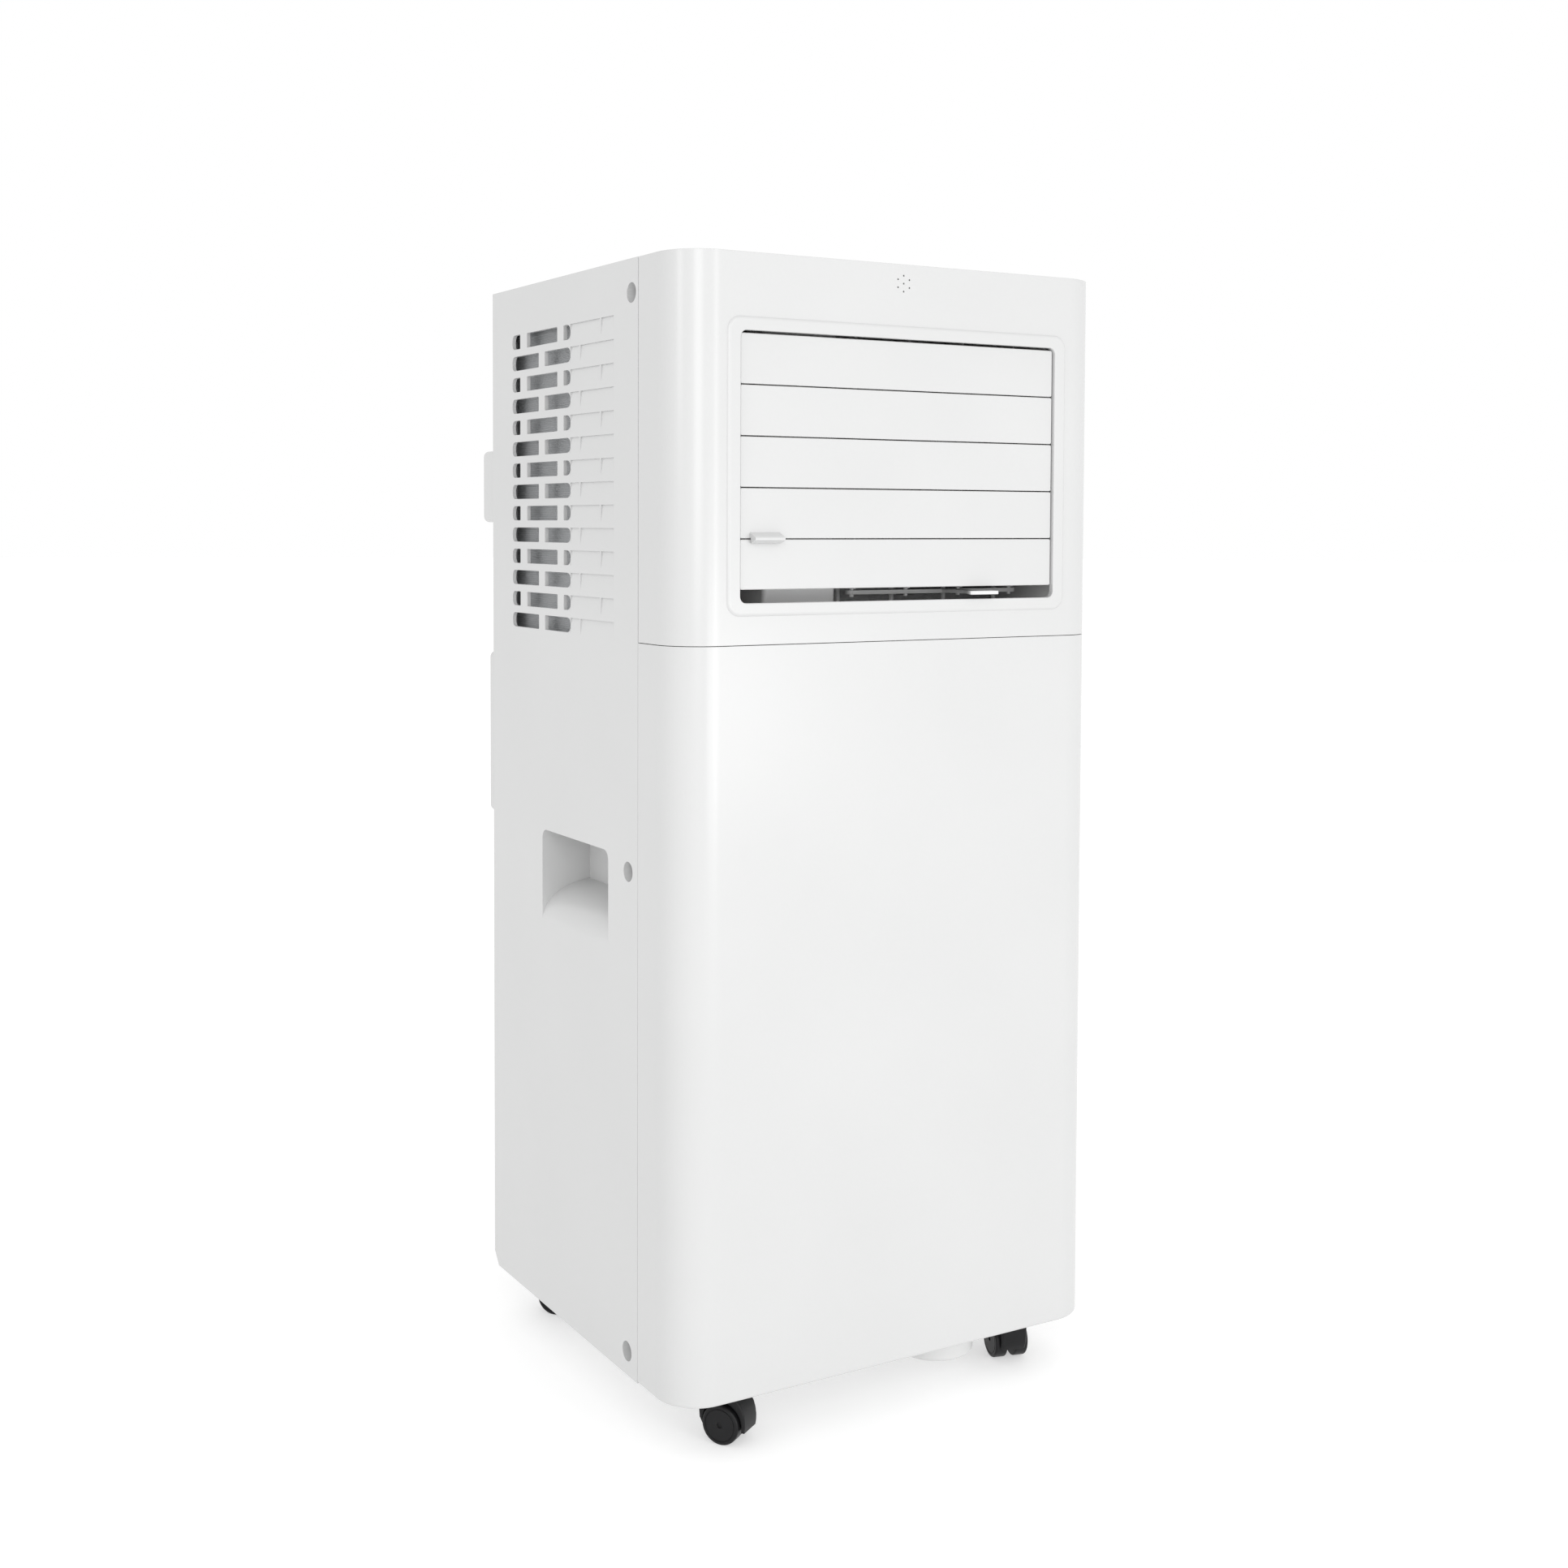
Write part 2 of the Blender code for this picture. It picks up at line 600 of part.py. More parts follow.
def vane_bar(parent):
    """Bar across the vanes' crank pins, with the finger tab that reaches out under the lowest slat."""
    y = back(VANE_PIVOT) - VANE_CRANK
    z0, z1 = VANE_BAR_Z
    origin = (vane_x(1), y, z0)
    strip = box((vane_x(0) - 0.004, y - 0.003, z0), (vane_x(VANES - 1) + 0.004, y + 0.003, z1))
    bar = node("vane_link_bar", strip, "white_satin", origin, parent)
    neck, tip = back(0.010), back(-TAB_PROUD)
    tab = [(0.050, y), (0.054, neck), (0.046, tip), (0.068, tip), (0.062, neck), (0.066, y)]
    add_here(bar, origin, prism(tab, "Z", z0 + 0.0002, z1 - 0.0002))
    holes = [cylinder((vane_x(k), y), "Z", CRANK_HOLE_R, z0 - PAST, z1 + PAST, sides=8)
             for k in range(VANES)]
    cut_here(bar, origin, together(holes))


def outlet_duct():
    """Box duct behind the louvre, with pivot holes and the closed block beside the air way."""
    shell = box((-DUCT_HALF - SHEET, back(WALL + GAP), DUCT_Z0 - SHEET),
                (DUCT_HALF + SHEET, back(DUCT_REAR), DUCT_Z1 + SHEET))
    duct = node("outlet_duct", shell, "white_satin")
    cut(duct, box((-DUCT_HALF, back(0), DUCT_Z0), (DUCT_HALF, back(DUCT_REAR + PAST), DUCT_Z1)))
    add(duct, box((BLOCK_X[0], back(BLOCK_FRONT), DUCT_Z0 - SHEET / 2),
                  (BLOCK_X[1], back(DUCT_REAR), DUCT_Z1 + SHEET / 2)))
    reach = (-0.001, SHEET + PAST)
    holes = []
    for k in range(SLATS):
        for side in (-1, 1):
            ends = across(side, DUCT_HALF + reach[0], DUCT_HALF + reach[1])
            holes.append(cylinder((back(PIVOT_DEPTH), slat_height(k)), "X", PIN_HOLE_R, *ends, sides=6))
    for k in range(VANES):
        place = (vane_x(k), back(VANE_PIVOT))
        holes.append(cylinder(place, "Z", PIN_HOLE_R, DUCT_Z0 - reach[1], DUCT_Z0 - reach[0], sides=6))
        holes.append(cylinder(place, "Z", PIN_HOLE_R, DUCT_Z1 + reach[0], DUCT_Z1 + reach[1], sides=6))
    cut(duct, together(holes))


# ---- base and castors --------------------------------------------------------------------------
def stem_places():
    """Stem axis of each castor, as (x, y)."""
    return {"fl": (-STEM_X, back(STEM_FRONT)), "fr": (STEM_X, back(STEM_FRONT)),
            "rl": (-STEM_X, back(STEM_REAR)), "rr": (STEM_X, back(STEM_REAR))}


def base_pan():
    """Base tray with its rim, the round sump under it and a socket for each castor."""
    inset = WALL + GAP
    plan = casing_front(inset, DEPTH - inset)
    inner = casing_front(inset + SHEET, DEPTH - inset - SHEET)
    floor, rim_top = FOOT + 0.003, FOOT + 0.010
    pan = node("base_pan", prism(plan, "Z", FOOT + GAP, rim_top), "white_satin")
    cut(pan, prism(inner, "Z", floor, rim_top + PAST))

    sockets = [cylinder(place, "Z", 0.0075, FOOT + 0.001, FOOT + 0.018, sides=12)
               for place in stem_places().values()]
    centre = (SUMP[0], back(SUMP[1]))
    bowl = cylinder(centre, "Z", SUMP_R - WALL, SUMP_Z, floor - 0.001, sides=24, r_hi=SUMP_R)
    add(pan, together(sockets), bowl)

    bores = [cylinder(place, "Z", STEM_R + 0.0005, FOOT - 0.001, FOOT + 0.0145, sides=12)
             for place in stem_places().values()]
    hollow = cylinder(centre, "Z", SUMP_R - 2 * WALL, SUMP_Z + WALL, floor + PAST, sides=24)
    slope = [(back(DEPTH - 0.014), FOOT - 0.001), (back(DEPTH) + PAST, FOOT - 0.001),
             (back(DEPTH) + PAST, FOOT + 0.015)]
    seat = back(SCREW_SEATS[2][0])
    notches = []
    for side in (-1, 1):
        x0, x1 = across(side, HALF_W - 0.012, HALF_W)
        notches.append(box((x0, seat - 0.010, FOOT + 0.004), (x1, seat + 0.010, FOOT + 0.015)))
    cut(pan, together(bores), hollow, prism(slope, "X", -HALF_W, HALF_W), together(notches))


def swung(shape, place, trail):
    """A castor shape, drawn with its trail along +X and its stem at the origin, turned and placed."""
    x, y = place
    turn = Matrix(((trail[0], -trail[1], 0, x), (trail[1], trail[0], 0, y), (0, 0, 1, 0), (0, 0, 0, 1)))
    bmesh.ops.transform(shape, matrix=turn, verts=shape.verts)
    return shape


def castor(corner, place):
    """Hooded twin-wheel castor: a hood on a swivelling stem, and a pair of wheels on one axle."""
    trail = Vector(CASTOR_TRAILS[corner]).normalized()
    origin = (*place, FOOT)
    outline = [(TRAIL + 0.0145, 0.0085), (TRAIL + 0.0150, 0.0150), (TRAIL + 0.0135, 0.0225),
               (TRAIL + 0.0090, 0.0285), (TRAIL + 0.0020, 0.0322), (-0.0075, 0.0322),
               (-0.0090, 0.0240), (-0.0084, 0.0130), (-0.0060, 0.0085)]
    cover = prism(outline, "Y", -HOOD_HALF, HOOD_HALF)
    hood = node(f"castor_{corner}_hood", swung(cover, place, trail), "black_plastic", origin)
    stem = cylinder((0, 0), "Z", STEM_R, 0.030, FOOT + 0.012, sides=12)
    add_here(hood, origin, swung(stem, place, trail))
    wells = together([cylinder((TRAIL, WHEEL_R), "Y", WHEEL_R + WELL_GAP, *across(side, FIN_HALF, 0.012),
                               sides=24) for side in (-1, 1)])
    bore = cylinder((TRAIL, WHEEL_R), "Y", AXLE_R + 0.0004, -0.012, 0.012, sides=12)
    cut_here(hood, origin, swung(wells, place, trail), swung(bore, place, trail))

    # The rim is a polygon whose flats touch the circle of WHEEL_R, with one flat on the floor.
    half_step = math.pi / WHEEL_SIDES
    rim = WHEEL_R / math.cos(half_step)
    half = [(0.0, 0.0112), (rim - 0.0016, 0.0112), (rim, 0.0098), (rim, 0.0030), (AXLE_R, 0.0030)]
    pair = lathe(half + [(r, -w) for r, w in half[::-1]], (0, 0), WHEEL_SIDES)
    on_side = (Matrix.Translation((TRAIL, 0, WHEEL_R)) @ Matrix.Rotation(math.pi / 2, 4, "X")
               @ Matrix.Rotation(half_step, 4, "Z"))
    bmesh.ops.transform(pair, matrix=on_side, verts=pair.verts)
    axle = (place[0] + trail.x * TRAIL, place[1] + trail.y * TRAIL, WHEEL_R)
    node(f"castor_{corner}_wheels", swung(pair, place, trail), "black_plastic", axle, smooth=True)


# ---- rear fittings -----------------------------------------------------------------------------
def slotted(name, outline, slots, depths):
    """A flat grille: an outline in X and Z with a field of slots."""
    plate = node(name, prism(outline, "Y", back(depths[0]), back(depths[1])), "white_gloss")
    cut(plate, together([box((x0, back(depths[0] - PAST), z0), (x1, back(depths[1] + PAST), z1))
                         for x0, x1, z0, z1 in slots]))
    return plate


def slot_field(first, pitch, rows, height, half, rib):
    """Two columns of slots either side of a middle rib, as (x0, x1, z0, z1)."""
    return [(x0, x1, first + pitch * k, first + pitch * k + height)
            for k in range(rows) for x0, x1 in ((-half, -rib), (rib, half))]


def filter_pull(name, side):
    """Hollow finger pull, open towards the middle, pegged to the back of the filter cover."""
    x0, x1 = across(side, *PULL_X)
    root = DEPTH + GAP + COVER_T + GAP
    shell = box((x0, back(root - 2 * PULL_ROUND), PULL_Z[0]), (x1, back(DEPTH + GRIP_PROUD), PULL_Z[1]),
                PULL_ROUND)
    pull = node(name, shell, "white_gloss")
    inside = across(side, PULL_X[0] - 2 * PAST, PULL_X[1] - PULL_WALL)
    cut(pull, box((x0 - PAST, back(root - 3 * PULL_ROUND), PULL_Z[0] - PAST),
                  (x1 + PAST, back(root), PULL_Z[1] + PAST)),
        box((inside[0], back(root - PAST), PULL_Z[0] + PULL_WALL),
            (inside[1], back(DEPTH + GRIP_PROUD - PULL_WALL), PULL_Z[1] - PULL_WALL)))
    add(pull, together([cylinder((side * PEG_X, z), "Y", PEG_R, back(root - COVER_T), back(root + PEG_R),
                                 sides=8) for z in PEG_Z]))


def filter_drawer():
    """Filter cover with its two finger pulls, and the mesh behind it."""
    rear = DEPTH + GAP
    cover = slotted("filter_cover", rounded(-COVER_HALF, COVER_HALF, *FILTER_Z, COVER_R),
                    slot_field(0.486, 0.0165, 10, 0.0115, 0.108, 0.003), (rear, rear + COVER_T))
    cut(cover, together([cylinder((side * PEG_X, z), "Y", PEG_HOLE_R, back(rear - PAST),
                                  back(rear + COVER_T + PAST), sides=8)
                         for side in (-1, 1) for z in PEG_Z]))
    filter_pull("filter_pull_left", -1)
    filter_pull("filter_pull_right", 1)
    half, z0, z1 = FILTER_MESH
    node("filter_mesh", box((-half, back(DEPTH - 0.006), z0), (half, back(DEPTH), z1)), "grey_mesh")


def rear_fittings():
    """Lower grille, exhaust plinth with its collar, cord gland and drain plug."""
    rear = DEPTH + GAP
    slotted("lower_grille", rounded(-GRILLE_HALF, GRILLE_HALF, *GRILLE_Z, 0.006),
            slot_field(0.084, 0.0185, 12, 0.011, 0.102, 0.003), (rear, rear + GRILLE_T))

    slab = prism(rounded(-COVER_HALF, COVER_HALF, *PLINTH_Z, COVER_R), "Y", back(rear),
                 back(DEPTH + PLINTH_PROUD))
    plinth = node("exhaust_outlet", slab, "white_gloss")
    add(plinth, prism(oblong(COLLAR_WALL), "Y", back(DEPTH + PLINTH_PROUD - PAST), back(DEPTH + GRIP_PROUD)))
    cut(plinth, prism(oblong(), "Y", back(DEPTH - PAST), back(DEPTH + GRIP_PROUD + PAST)))

    sleeve = cylinder(GLAND, "Y", GLAND_R, back(DEPTH - 0.006), back(DEPTH + 0.001))
    gland = node("cord_gland", sleeve, "black_plastic")
    add(gland, cylinder(GLAND, "Y", 0.0095, back(rear), back(DEPTH + 0.003)),
        cylinder(GLAND, "Y", 0.0070, back(DEPTH + 0.002), back(DEPTH + 0.012), r_hi=0.0055))
    cut(gland, cylinder(GLAND, "Y", GLAND_BORE_R, back(DEPTH - 0.006 - PAST), back(DEPTH + 0.012 + PAST),
                        sides=12))

    origin = (DRAIN[0], back(rear), DRAIN[1])
    stopper = cylinder(DRAIN, "Y", PLUG_R, back(DEPTH - 0.012), back(DEPTH + 0.001))
    plug = node("drain_plug", stopper, "black_plastic", origin)
    add_here(plug, origin, cylinder(DRAIN, "Y", 0.0125, back(rear), back(DEPTH + 0.003)),
             box((DRAIN[0] - 0.009, back(DEPTH + 0.002), DRAIN[1] - 0.002),
                 (DRAIN[0] + 0.009, back(DEPTH + 0.008), DRAIN[1] + 0.002)))


def side_filters():
    """Fine dust screens just inside the side vents."""
    for name, side in (("left_side_filter", -1), ("right_side_filter", 1)):
        x0, x1 = across(side, *SIDE_FILTER_X)
        node(name, box((x0, back(0.142), 0.470), (x1, back(0.241), 0.672)), "grey_mesh")


# ---- cooling circuit and fans ------------------------------------------------------------------
def coil(name, depths, heights):
    """A finned coil block between two end plates."""
    fins = box((-COIL_HALF, back(depths[0]), heights[0]), (COIL_HALF, back(depths[1]), heights[1]))
    block = node(name, fins, "aluminium_fin")
    for side in (-1, 1):
        x0, x1 = across(side, COIL_HALF - 0.001, COIL_HALF + 0.001)
        add(block, box((x0, back(depths[0] - 0.004), heights[0] - 0.003),
                       (x1, back(depths[1] + 0.004), heights[1] + 0.003)))


def annulus(centre, inner, outer, lo, hi, sides=24):
    """A flat ring about a Y axis."""
    bm = bmesh.new()
    loops = []
    for r in (outer, inner):
        for y in (lo, hi):
            ring = arc(centre, r, 0, 360, sides)[:-1]
            loops.append([bm.verts.new((x, y, z)) for x, z in ring])
    outer_lo, outer_hi, inner_lo, inner_hi = loops
    walls = ((outer_lo, outer_hi), (outer_hi, inner_hi), (inner_hi, inner_lo), (inner_lo, outer_lo))
    for one, other in walls:
        for k in range(sides):
            following = (k + 1) % sides
            bm.faces.new((one[k], one[following], other[following], other[k]))
    return closed_up(bm)


def blower(name, centre, r, depths, hub_depth):
    """Squirrel-cage wheel: blades between two rims, carried by a hub disc."""
    x, z = centre
    front, rear = depths
    origin = (x, back((front + rear) / 2), z)
    inner = r - BLADE_DEEP
    disc = cylinder(centre, "Y", inner + 0.003, back(hub_depth), back(hub_depth + 0.003), sides=24)
    wheel = node(name, disc, "black_plastic", origin)
    at_root, off_root = Matrix.Translation((inner, 0, 0)), Matrix.Translation((-inner, 0, 0))
    tilt = at_root @ Matrix.Rotation(math.radians(BLADE_TILT), 4, "Y") @ off_root
    blades = []
    for k in range(BLADES):
        blade = box((inner, back(front + 0.001), -0.001), (r - 0.0005, back(rear - 0.001), 0.001))
        turn = Matrix.Translation((x, 0, z)) @ Matrix.Rotation(2 * math.pi * k / BLADES, 4, "Y")
        bmesh.ops.transform(blade, matrix=turn @ tilt, verts=blade.verts)
        blades.append(blade)
    shaft = cylinder(centre, "Y", 0.009, back(hub_depth - 0.004), back(hub_depth + 0.008), sides=12)
    rims = [annulus(centre, inner + 0.002, r, back(lo), back(lo + RIM_T)) for lo in (front, rear - RIM_T)]
    add_here(wheel, origin, together(blades), shaft, *rims)


def motor(name, centre, r, depths):
    """A drum-shaped motor with the stub of its shaft."""
    body = node(name, cylinder(centre, "Y", r, back(depths[0]), back(depths[1]), sides=24), "zinc_steel")
    add(body, cylinder(centre, "Y", 0.004, back(depths[1] - PAST), back(depths[1] + 0.0015), sides=12))


def cool_fan():
    """Cold-side blower in its scroll, blowing forward into the outlet duct."""
    front = DUCT_REAR + GAP
    inside = (DUCT_REAR + WALL, COOL_REAR - SHEET)
    drum = cylinder(COOL_FAN, "Y", COOL_DRUM_R, back(front), back(COOL_REAR), sides=DRUM_SIDES)
    scroll = node("evaporator_scroll", drum, "foam_grey")
    x0, x1 = BLOCK_X[1], DUCT_HALF + SHEET
    z0, z1 = DUCT_Z0 - SHEET, DUCT_Z1 + SHEET
    add(scroll, box((x0, back(front), z0), (x1, back(COOL_REAR), z1)))
    cut(scroll,
        cylinder(COOL_FAN, "Y", COOL_DRUM_R - SHEET, back(inside[0]), back(inside[1]), sides=DRUM_SIDES),
        box((x0 + SHEET, back(inside[0]), z0 + SHEET), (x1 - SHEET, back(inside[1]), z1 - SHEET)),
        cylinder(COOL_FAN, "Y", COOL_INLET_R, back(inside[1] - PAST), back(COOL_REAR + PAST),
                 sides=DRUM_SIDES),
        box((0.040, back(DUCT_REAR - PAST), 0.500), (0.116, back(inside[0] + PAST), 0.657)))
    blower("evaporator_blower", COOL_FAN, COOL_R, (0.080, 0.126), 0.104)
    motor("evaporator_motor", COOL_FAN, 0.030, (inside[0] + GAP, 0.098))


def hot_fan():
    """Warm-side blower in its scroll, blowing up a short chimney and out through the rear outlet."""
    front, rear = HOT_DEPTHS
    riser_foot = HOT_FAN[1]
    x0, x1 = -0.040, HOT_DRUM_R
    chest_x, chest_z = -0.096, (0.3450, 0.4560)
    drum = cylinder(HOT_FAN, "Y", HOT_DRUM_R, back(front), back(rear), sides=DRUM_SIDES)
    scroll = node("condenser_scroll", drum, "foam_grey")
    add(scroll, box((x0, back(front), riser_foot), (x1, back(rear), chest_z[0] + 0.015)),
        box((chest_x, back(front), chest_z[0]), (x1, back(DEPTH - WALL - GAP), chest_z[1])))
    cut(scroll,
        cylinder(HOT_FAN, "Y", HOT_DRUM_R - SHEET, back(front + SHEET), back(rear - SHEET),
                 sides=DRUM_SIDES),
        box((x0 + SHEET, back(front + SHEET), riser_foot), (x1 - SHEET, back(rear - SHEET), 0.362)),
        box((chest_x + SHEET, back(front + SHEET), chest_z[0] + SHEET),
            (x1 - SHEET, back(DEPTH), chest_z[1] - SHEET)),
        cylinder(HOT_FAN, "Y", HOT_INLET_R, back(rear - 2 * SHEET), back(rear + PAST), sides=DRUM_SIDES))
    blower("condenser_blower", HOT_FAN, HOT_R, (0.152, 0.205), 0.180)
    motor("condenser_motor", HOT_FAN, 0.032, (front + SHEET + GAP, 0.174))


def pipe(name, route, r):
    """A bent copper tube through hand-chosen (x, depth, z) points, with rounded bends."""
    points = [Vector((x, back(depth), z)) for x, depth, z in route]
    smooth = [points[0]]
    for before, corner, after in zip(points, points[1:], points[2:]):
        bend = min(0.014, (before - corner).length * 0.45, (after - corner).length * 0.45)
        start = corner + (before - corner).normalized() * bend
        end = corner + (after - corner).normalized() * bend
        for t in (0.0, 0.33, 0.67, 1.0):
            smooth.append(start * (1 - t) ** 2 + corner * 2 * t * (1 - t) + end * t ** 2)
    smooth.append(points[-1])

    curve = bpy.data.curves.new(name, "CURVE")
    curve.dimensions = "3D"
    curve.bevel_depth = r
    curve.bevel_resolution = 2
    curve.use_fill_caps = True
    line = curve.splines.new("POLY")
    line.points.add(len(smooth) - 1)
    for spot, place in zip(line.points, smooth):
        spot.co = (*place, 1)
    made = bpy.data.objects.new(name, curve)
    bpy.context.scene.collection.objects.link(made)
    made.data.materials.append(finish("copper"))


def cooling_circuit():
    """Coils, compressor with its accumulator, copper pipes, drip tray and electrical box."""
    coil("evaporator", (0.196, 0.226), (0.484, 0.664))
    coil("condenser", (0.222, 0.252), (0.076, 0.325))
    tray = node("drip_tray", box((-0.119, back(0.150), 0.4665), (0.119, back(0.2690), 0.4790)),
                "white_satin")
    cut(tray, box((-0.117, back(0.152), 0.4685), (0.117, back(0.2670), 0.4790 + PAST)),
        box((-0.119 - PAST, back(0.150 - PAST), 0.4665 - PAST), (-0.100, back(0.186), 0.4790 + PAST)))

    foot = FOOT + 0.0033
    shell = [(0, foot + 0.012), (0.038, foot + 0.013), (0.050, foot + 0.026), (0.050, 0.226),
             (0.040, 0.242), (0.015, 0.249), (0, 0.250)]
    x, depth = COMPRESSOR
    compressor = node("compressor", lathe(shell, (x, back(depth))), "black_steel", smooth=True)
    add(compressor, box((x - 0.058, back(depth - 0.022), foot),
                        (x + 0.058, back(depth + 0.022), foot + 0.016)))
    can = [(0, 0.092), (0.012, 0.094), (0.020, 0.104), (0.020, 0.222), (0.010, 0.234), (0, 0.235)]
    x, depth = ACCUMULATOR
    node("accumulator", lathe(can, (x, back(depth)), 16), "black_steel", smooth=True)

    pipe("suction_pipe", [(*ACCUMULATOR, 0.2355), (*ACCUMULATOR, 0.262), (-0.108, 0.130, 0.268),
                          (-0.108, 0.150, 0.290), (-0.108, 0.150, 0.500), (-0.126, 0.190, 0.520),
                          (-0.126, 0.211, 0.530), (-0.1145, 0.211, 0.530)], 0.0048)
    pipe("discharge_pipe", [(*COMPRESSOR, 0.2505), (*COMPRESSOR, 0.272), (0.108, 0.110, 0.272),
                            (0.108, 0.190, 0.268), (0.126, 0.225, 0.290), (0.126, 0.237, 0.300),
                            (0.1145, 0.237, 0.300)], 0.0040)
    pipe("liquid_pipe", [(-0.1145, 0.237, 0.100), (-0.128, 0.237, 0.100), (-0.128, 0.237, 0.300),
                         (-0.128, 0.222, 0.470), (-0.128, 0.216, 0.505), (-0.1145, 0.216, 0.505)],
         0.0030)

    body = box((-0.140, back(0.056), 0.352), (-0.050, back(0.126), 0.455), 0.002)
    cabinet = node("electrical_box", body, "zinc_steel")
    add(cabinet, box((-0.143, back(0.053), 0.440), (-0.047, back(0.129), 0.452)))


def main():
    for obj in list(bpy.data.objects):
        bpy.data.objects.remove(obj)
    front_panels()
    side_panel("left_side_panel", -1)
    side_panel("right_side_panel", 1)
    rear_panel()
    top_cover()
    controls()
    louvre = empty("louvre", (0, back(PIVOT_DEPTH), (OPEN_Z0 + OPEN_Z1) / 2))
    for number in range(SLATS):
        slat(number, louvre)
    slat_bar(louvre)
    for number in range(VANES):
        vane(number, louvre)
    vane_bar(louvre)
    outlet_duct()
    base_pan()
    for corner, place in stem_places().items():
        castor(corner, place)
    filter_drawer()
    rear_fittings()
    side_filters()
    cool_fan()
    hot_fan()
    cooling_circuit()


main()
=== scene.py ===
"""Looks of a floor-standing portable air conditioner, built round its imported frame.

Metres, +Z up. The front faces -Y, +X is to the right when facing the louvre.
"""
import logging
import math
from collections.abc import Callable, Sequence
from dataclasses import dataclass, field
from enum import Enum

import bpy
from mathutils import Matrix, Vector


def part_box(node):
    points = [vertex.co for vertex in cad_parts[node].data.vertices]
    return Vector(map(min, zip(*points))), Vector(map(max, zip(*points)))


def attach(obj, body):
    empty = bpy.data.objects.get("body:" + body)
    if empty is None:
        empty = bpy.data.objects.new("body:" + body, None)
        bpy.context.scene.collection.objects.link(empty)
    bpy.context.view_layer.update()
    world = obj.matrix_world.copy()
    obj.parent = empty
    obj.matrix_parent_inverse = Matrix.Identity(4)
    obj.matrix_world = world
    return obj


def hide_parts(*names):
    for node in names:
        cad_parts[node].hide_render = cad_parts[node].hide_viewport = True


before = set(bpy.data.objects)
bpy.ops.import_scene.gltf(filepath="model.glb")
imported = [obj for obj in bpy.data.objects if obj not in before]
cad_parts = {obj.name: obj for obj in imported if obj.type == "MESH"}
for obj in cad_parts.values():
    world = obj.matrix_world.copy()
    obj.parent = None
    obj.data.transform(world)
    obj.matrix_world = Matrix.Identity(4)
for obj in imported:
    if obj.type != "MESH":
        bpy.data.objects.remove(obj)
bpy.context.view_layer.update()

log = logging.getLogger("air_conditioner")

Point = Sequence[float]
EdgeTest = Callable[[Vector, Vector], bool]
FaceTest = Callable[[Vector, Vector], bool]
NEAR = 2e-5          # two coordinates this close are the same
PAST = 0.002         # how far a cutter stands clear of what it cuts
STRAIGHT = 0.999     # share of an edge's length that makes it run along an axis
FLAT = 0.9           # share of a normal that makes a face lie across an axis
MIRROR_X = Matrix.Scale(-1, 4, (1, 0, 0))


# ---- finishes ----------------------------------------------------------------------------------
def plug(tree: bpy.types.NodeTree, node: bpy.types.Node, inputs: dict) -> None:
    """Fills a node's inputs: sockets are joined, plain values are set.

    Args:
        tree: Tree that holds the node.
        node: The node.
        inputs: Values or sockets by input name or number.
    """
    for key, value in inputs.items():
        if isinstance(value, bpy.types.NodeSocket):
            tree.links.new(value, node.inputs[key])
        else:
            node.inputs[key].default_value = value


def put(tree: bpy.types.NodeTree, kind: str, inputs: dict, **settings: str) -> bpy.types.Node:
    """Adds a shader node of a kind with its inputs and settings and returns it."""
    node = tree.nodes.new(f"ShaderNode{kind}")
    for key, value in settings.items():
        setattr(node, key, value)
    plug(tree, node, inputs)
    return node


class Grain(Enum):
    """Surface pattern of a finish."""

    MOULDED = "fine orange peel of moulded plastic"
    WOVEN = "crossed threads of a dust screen"
    FINNED = "thin upright fins"
    SPANGLED = "zinc crystals"
    TARNISHED = "cloudy tarnish"
    TRACKED = "printed tracks"
    FOAMED = "open cells"


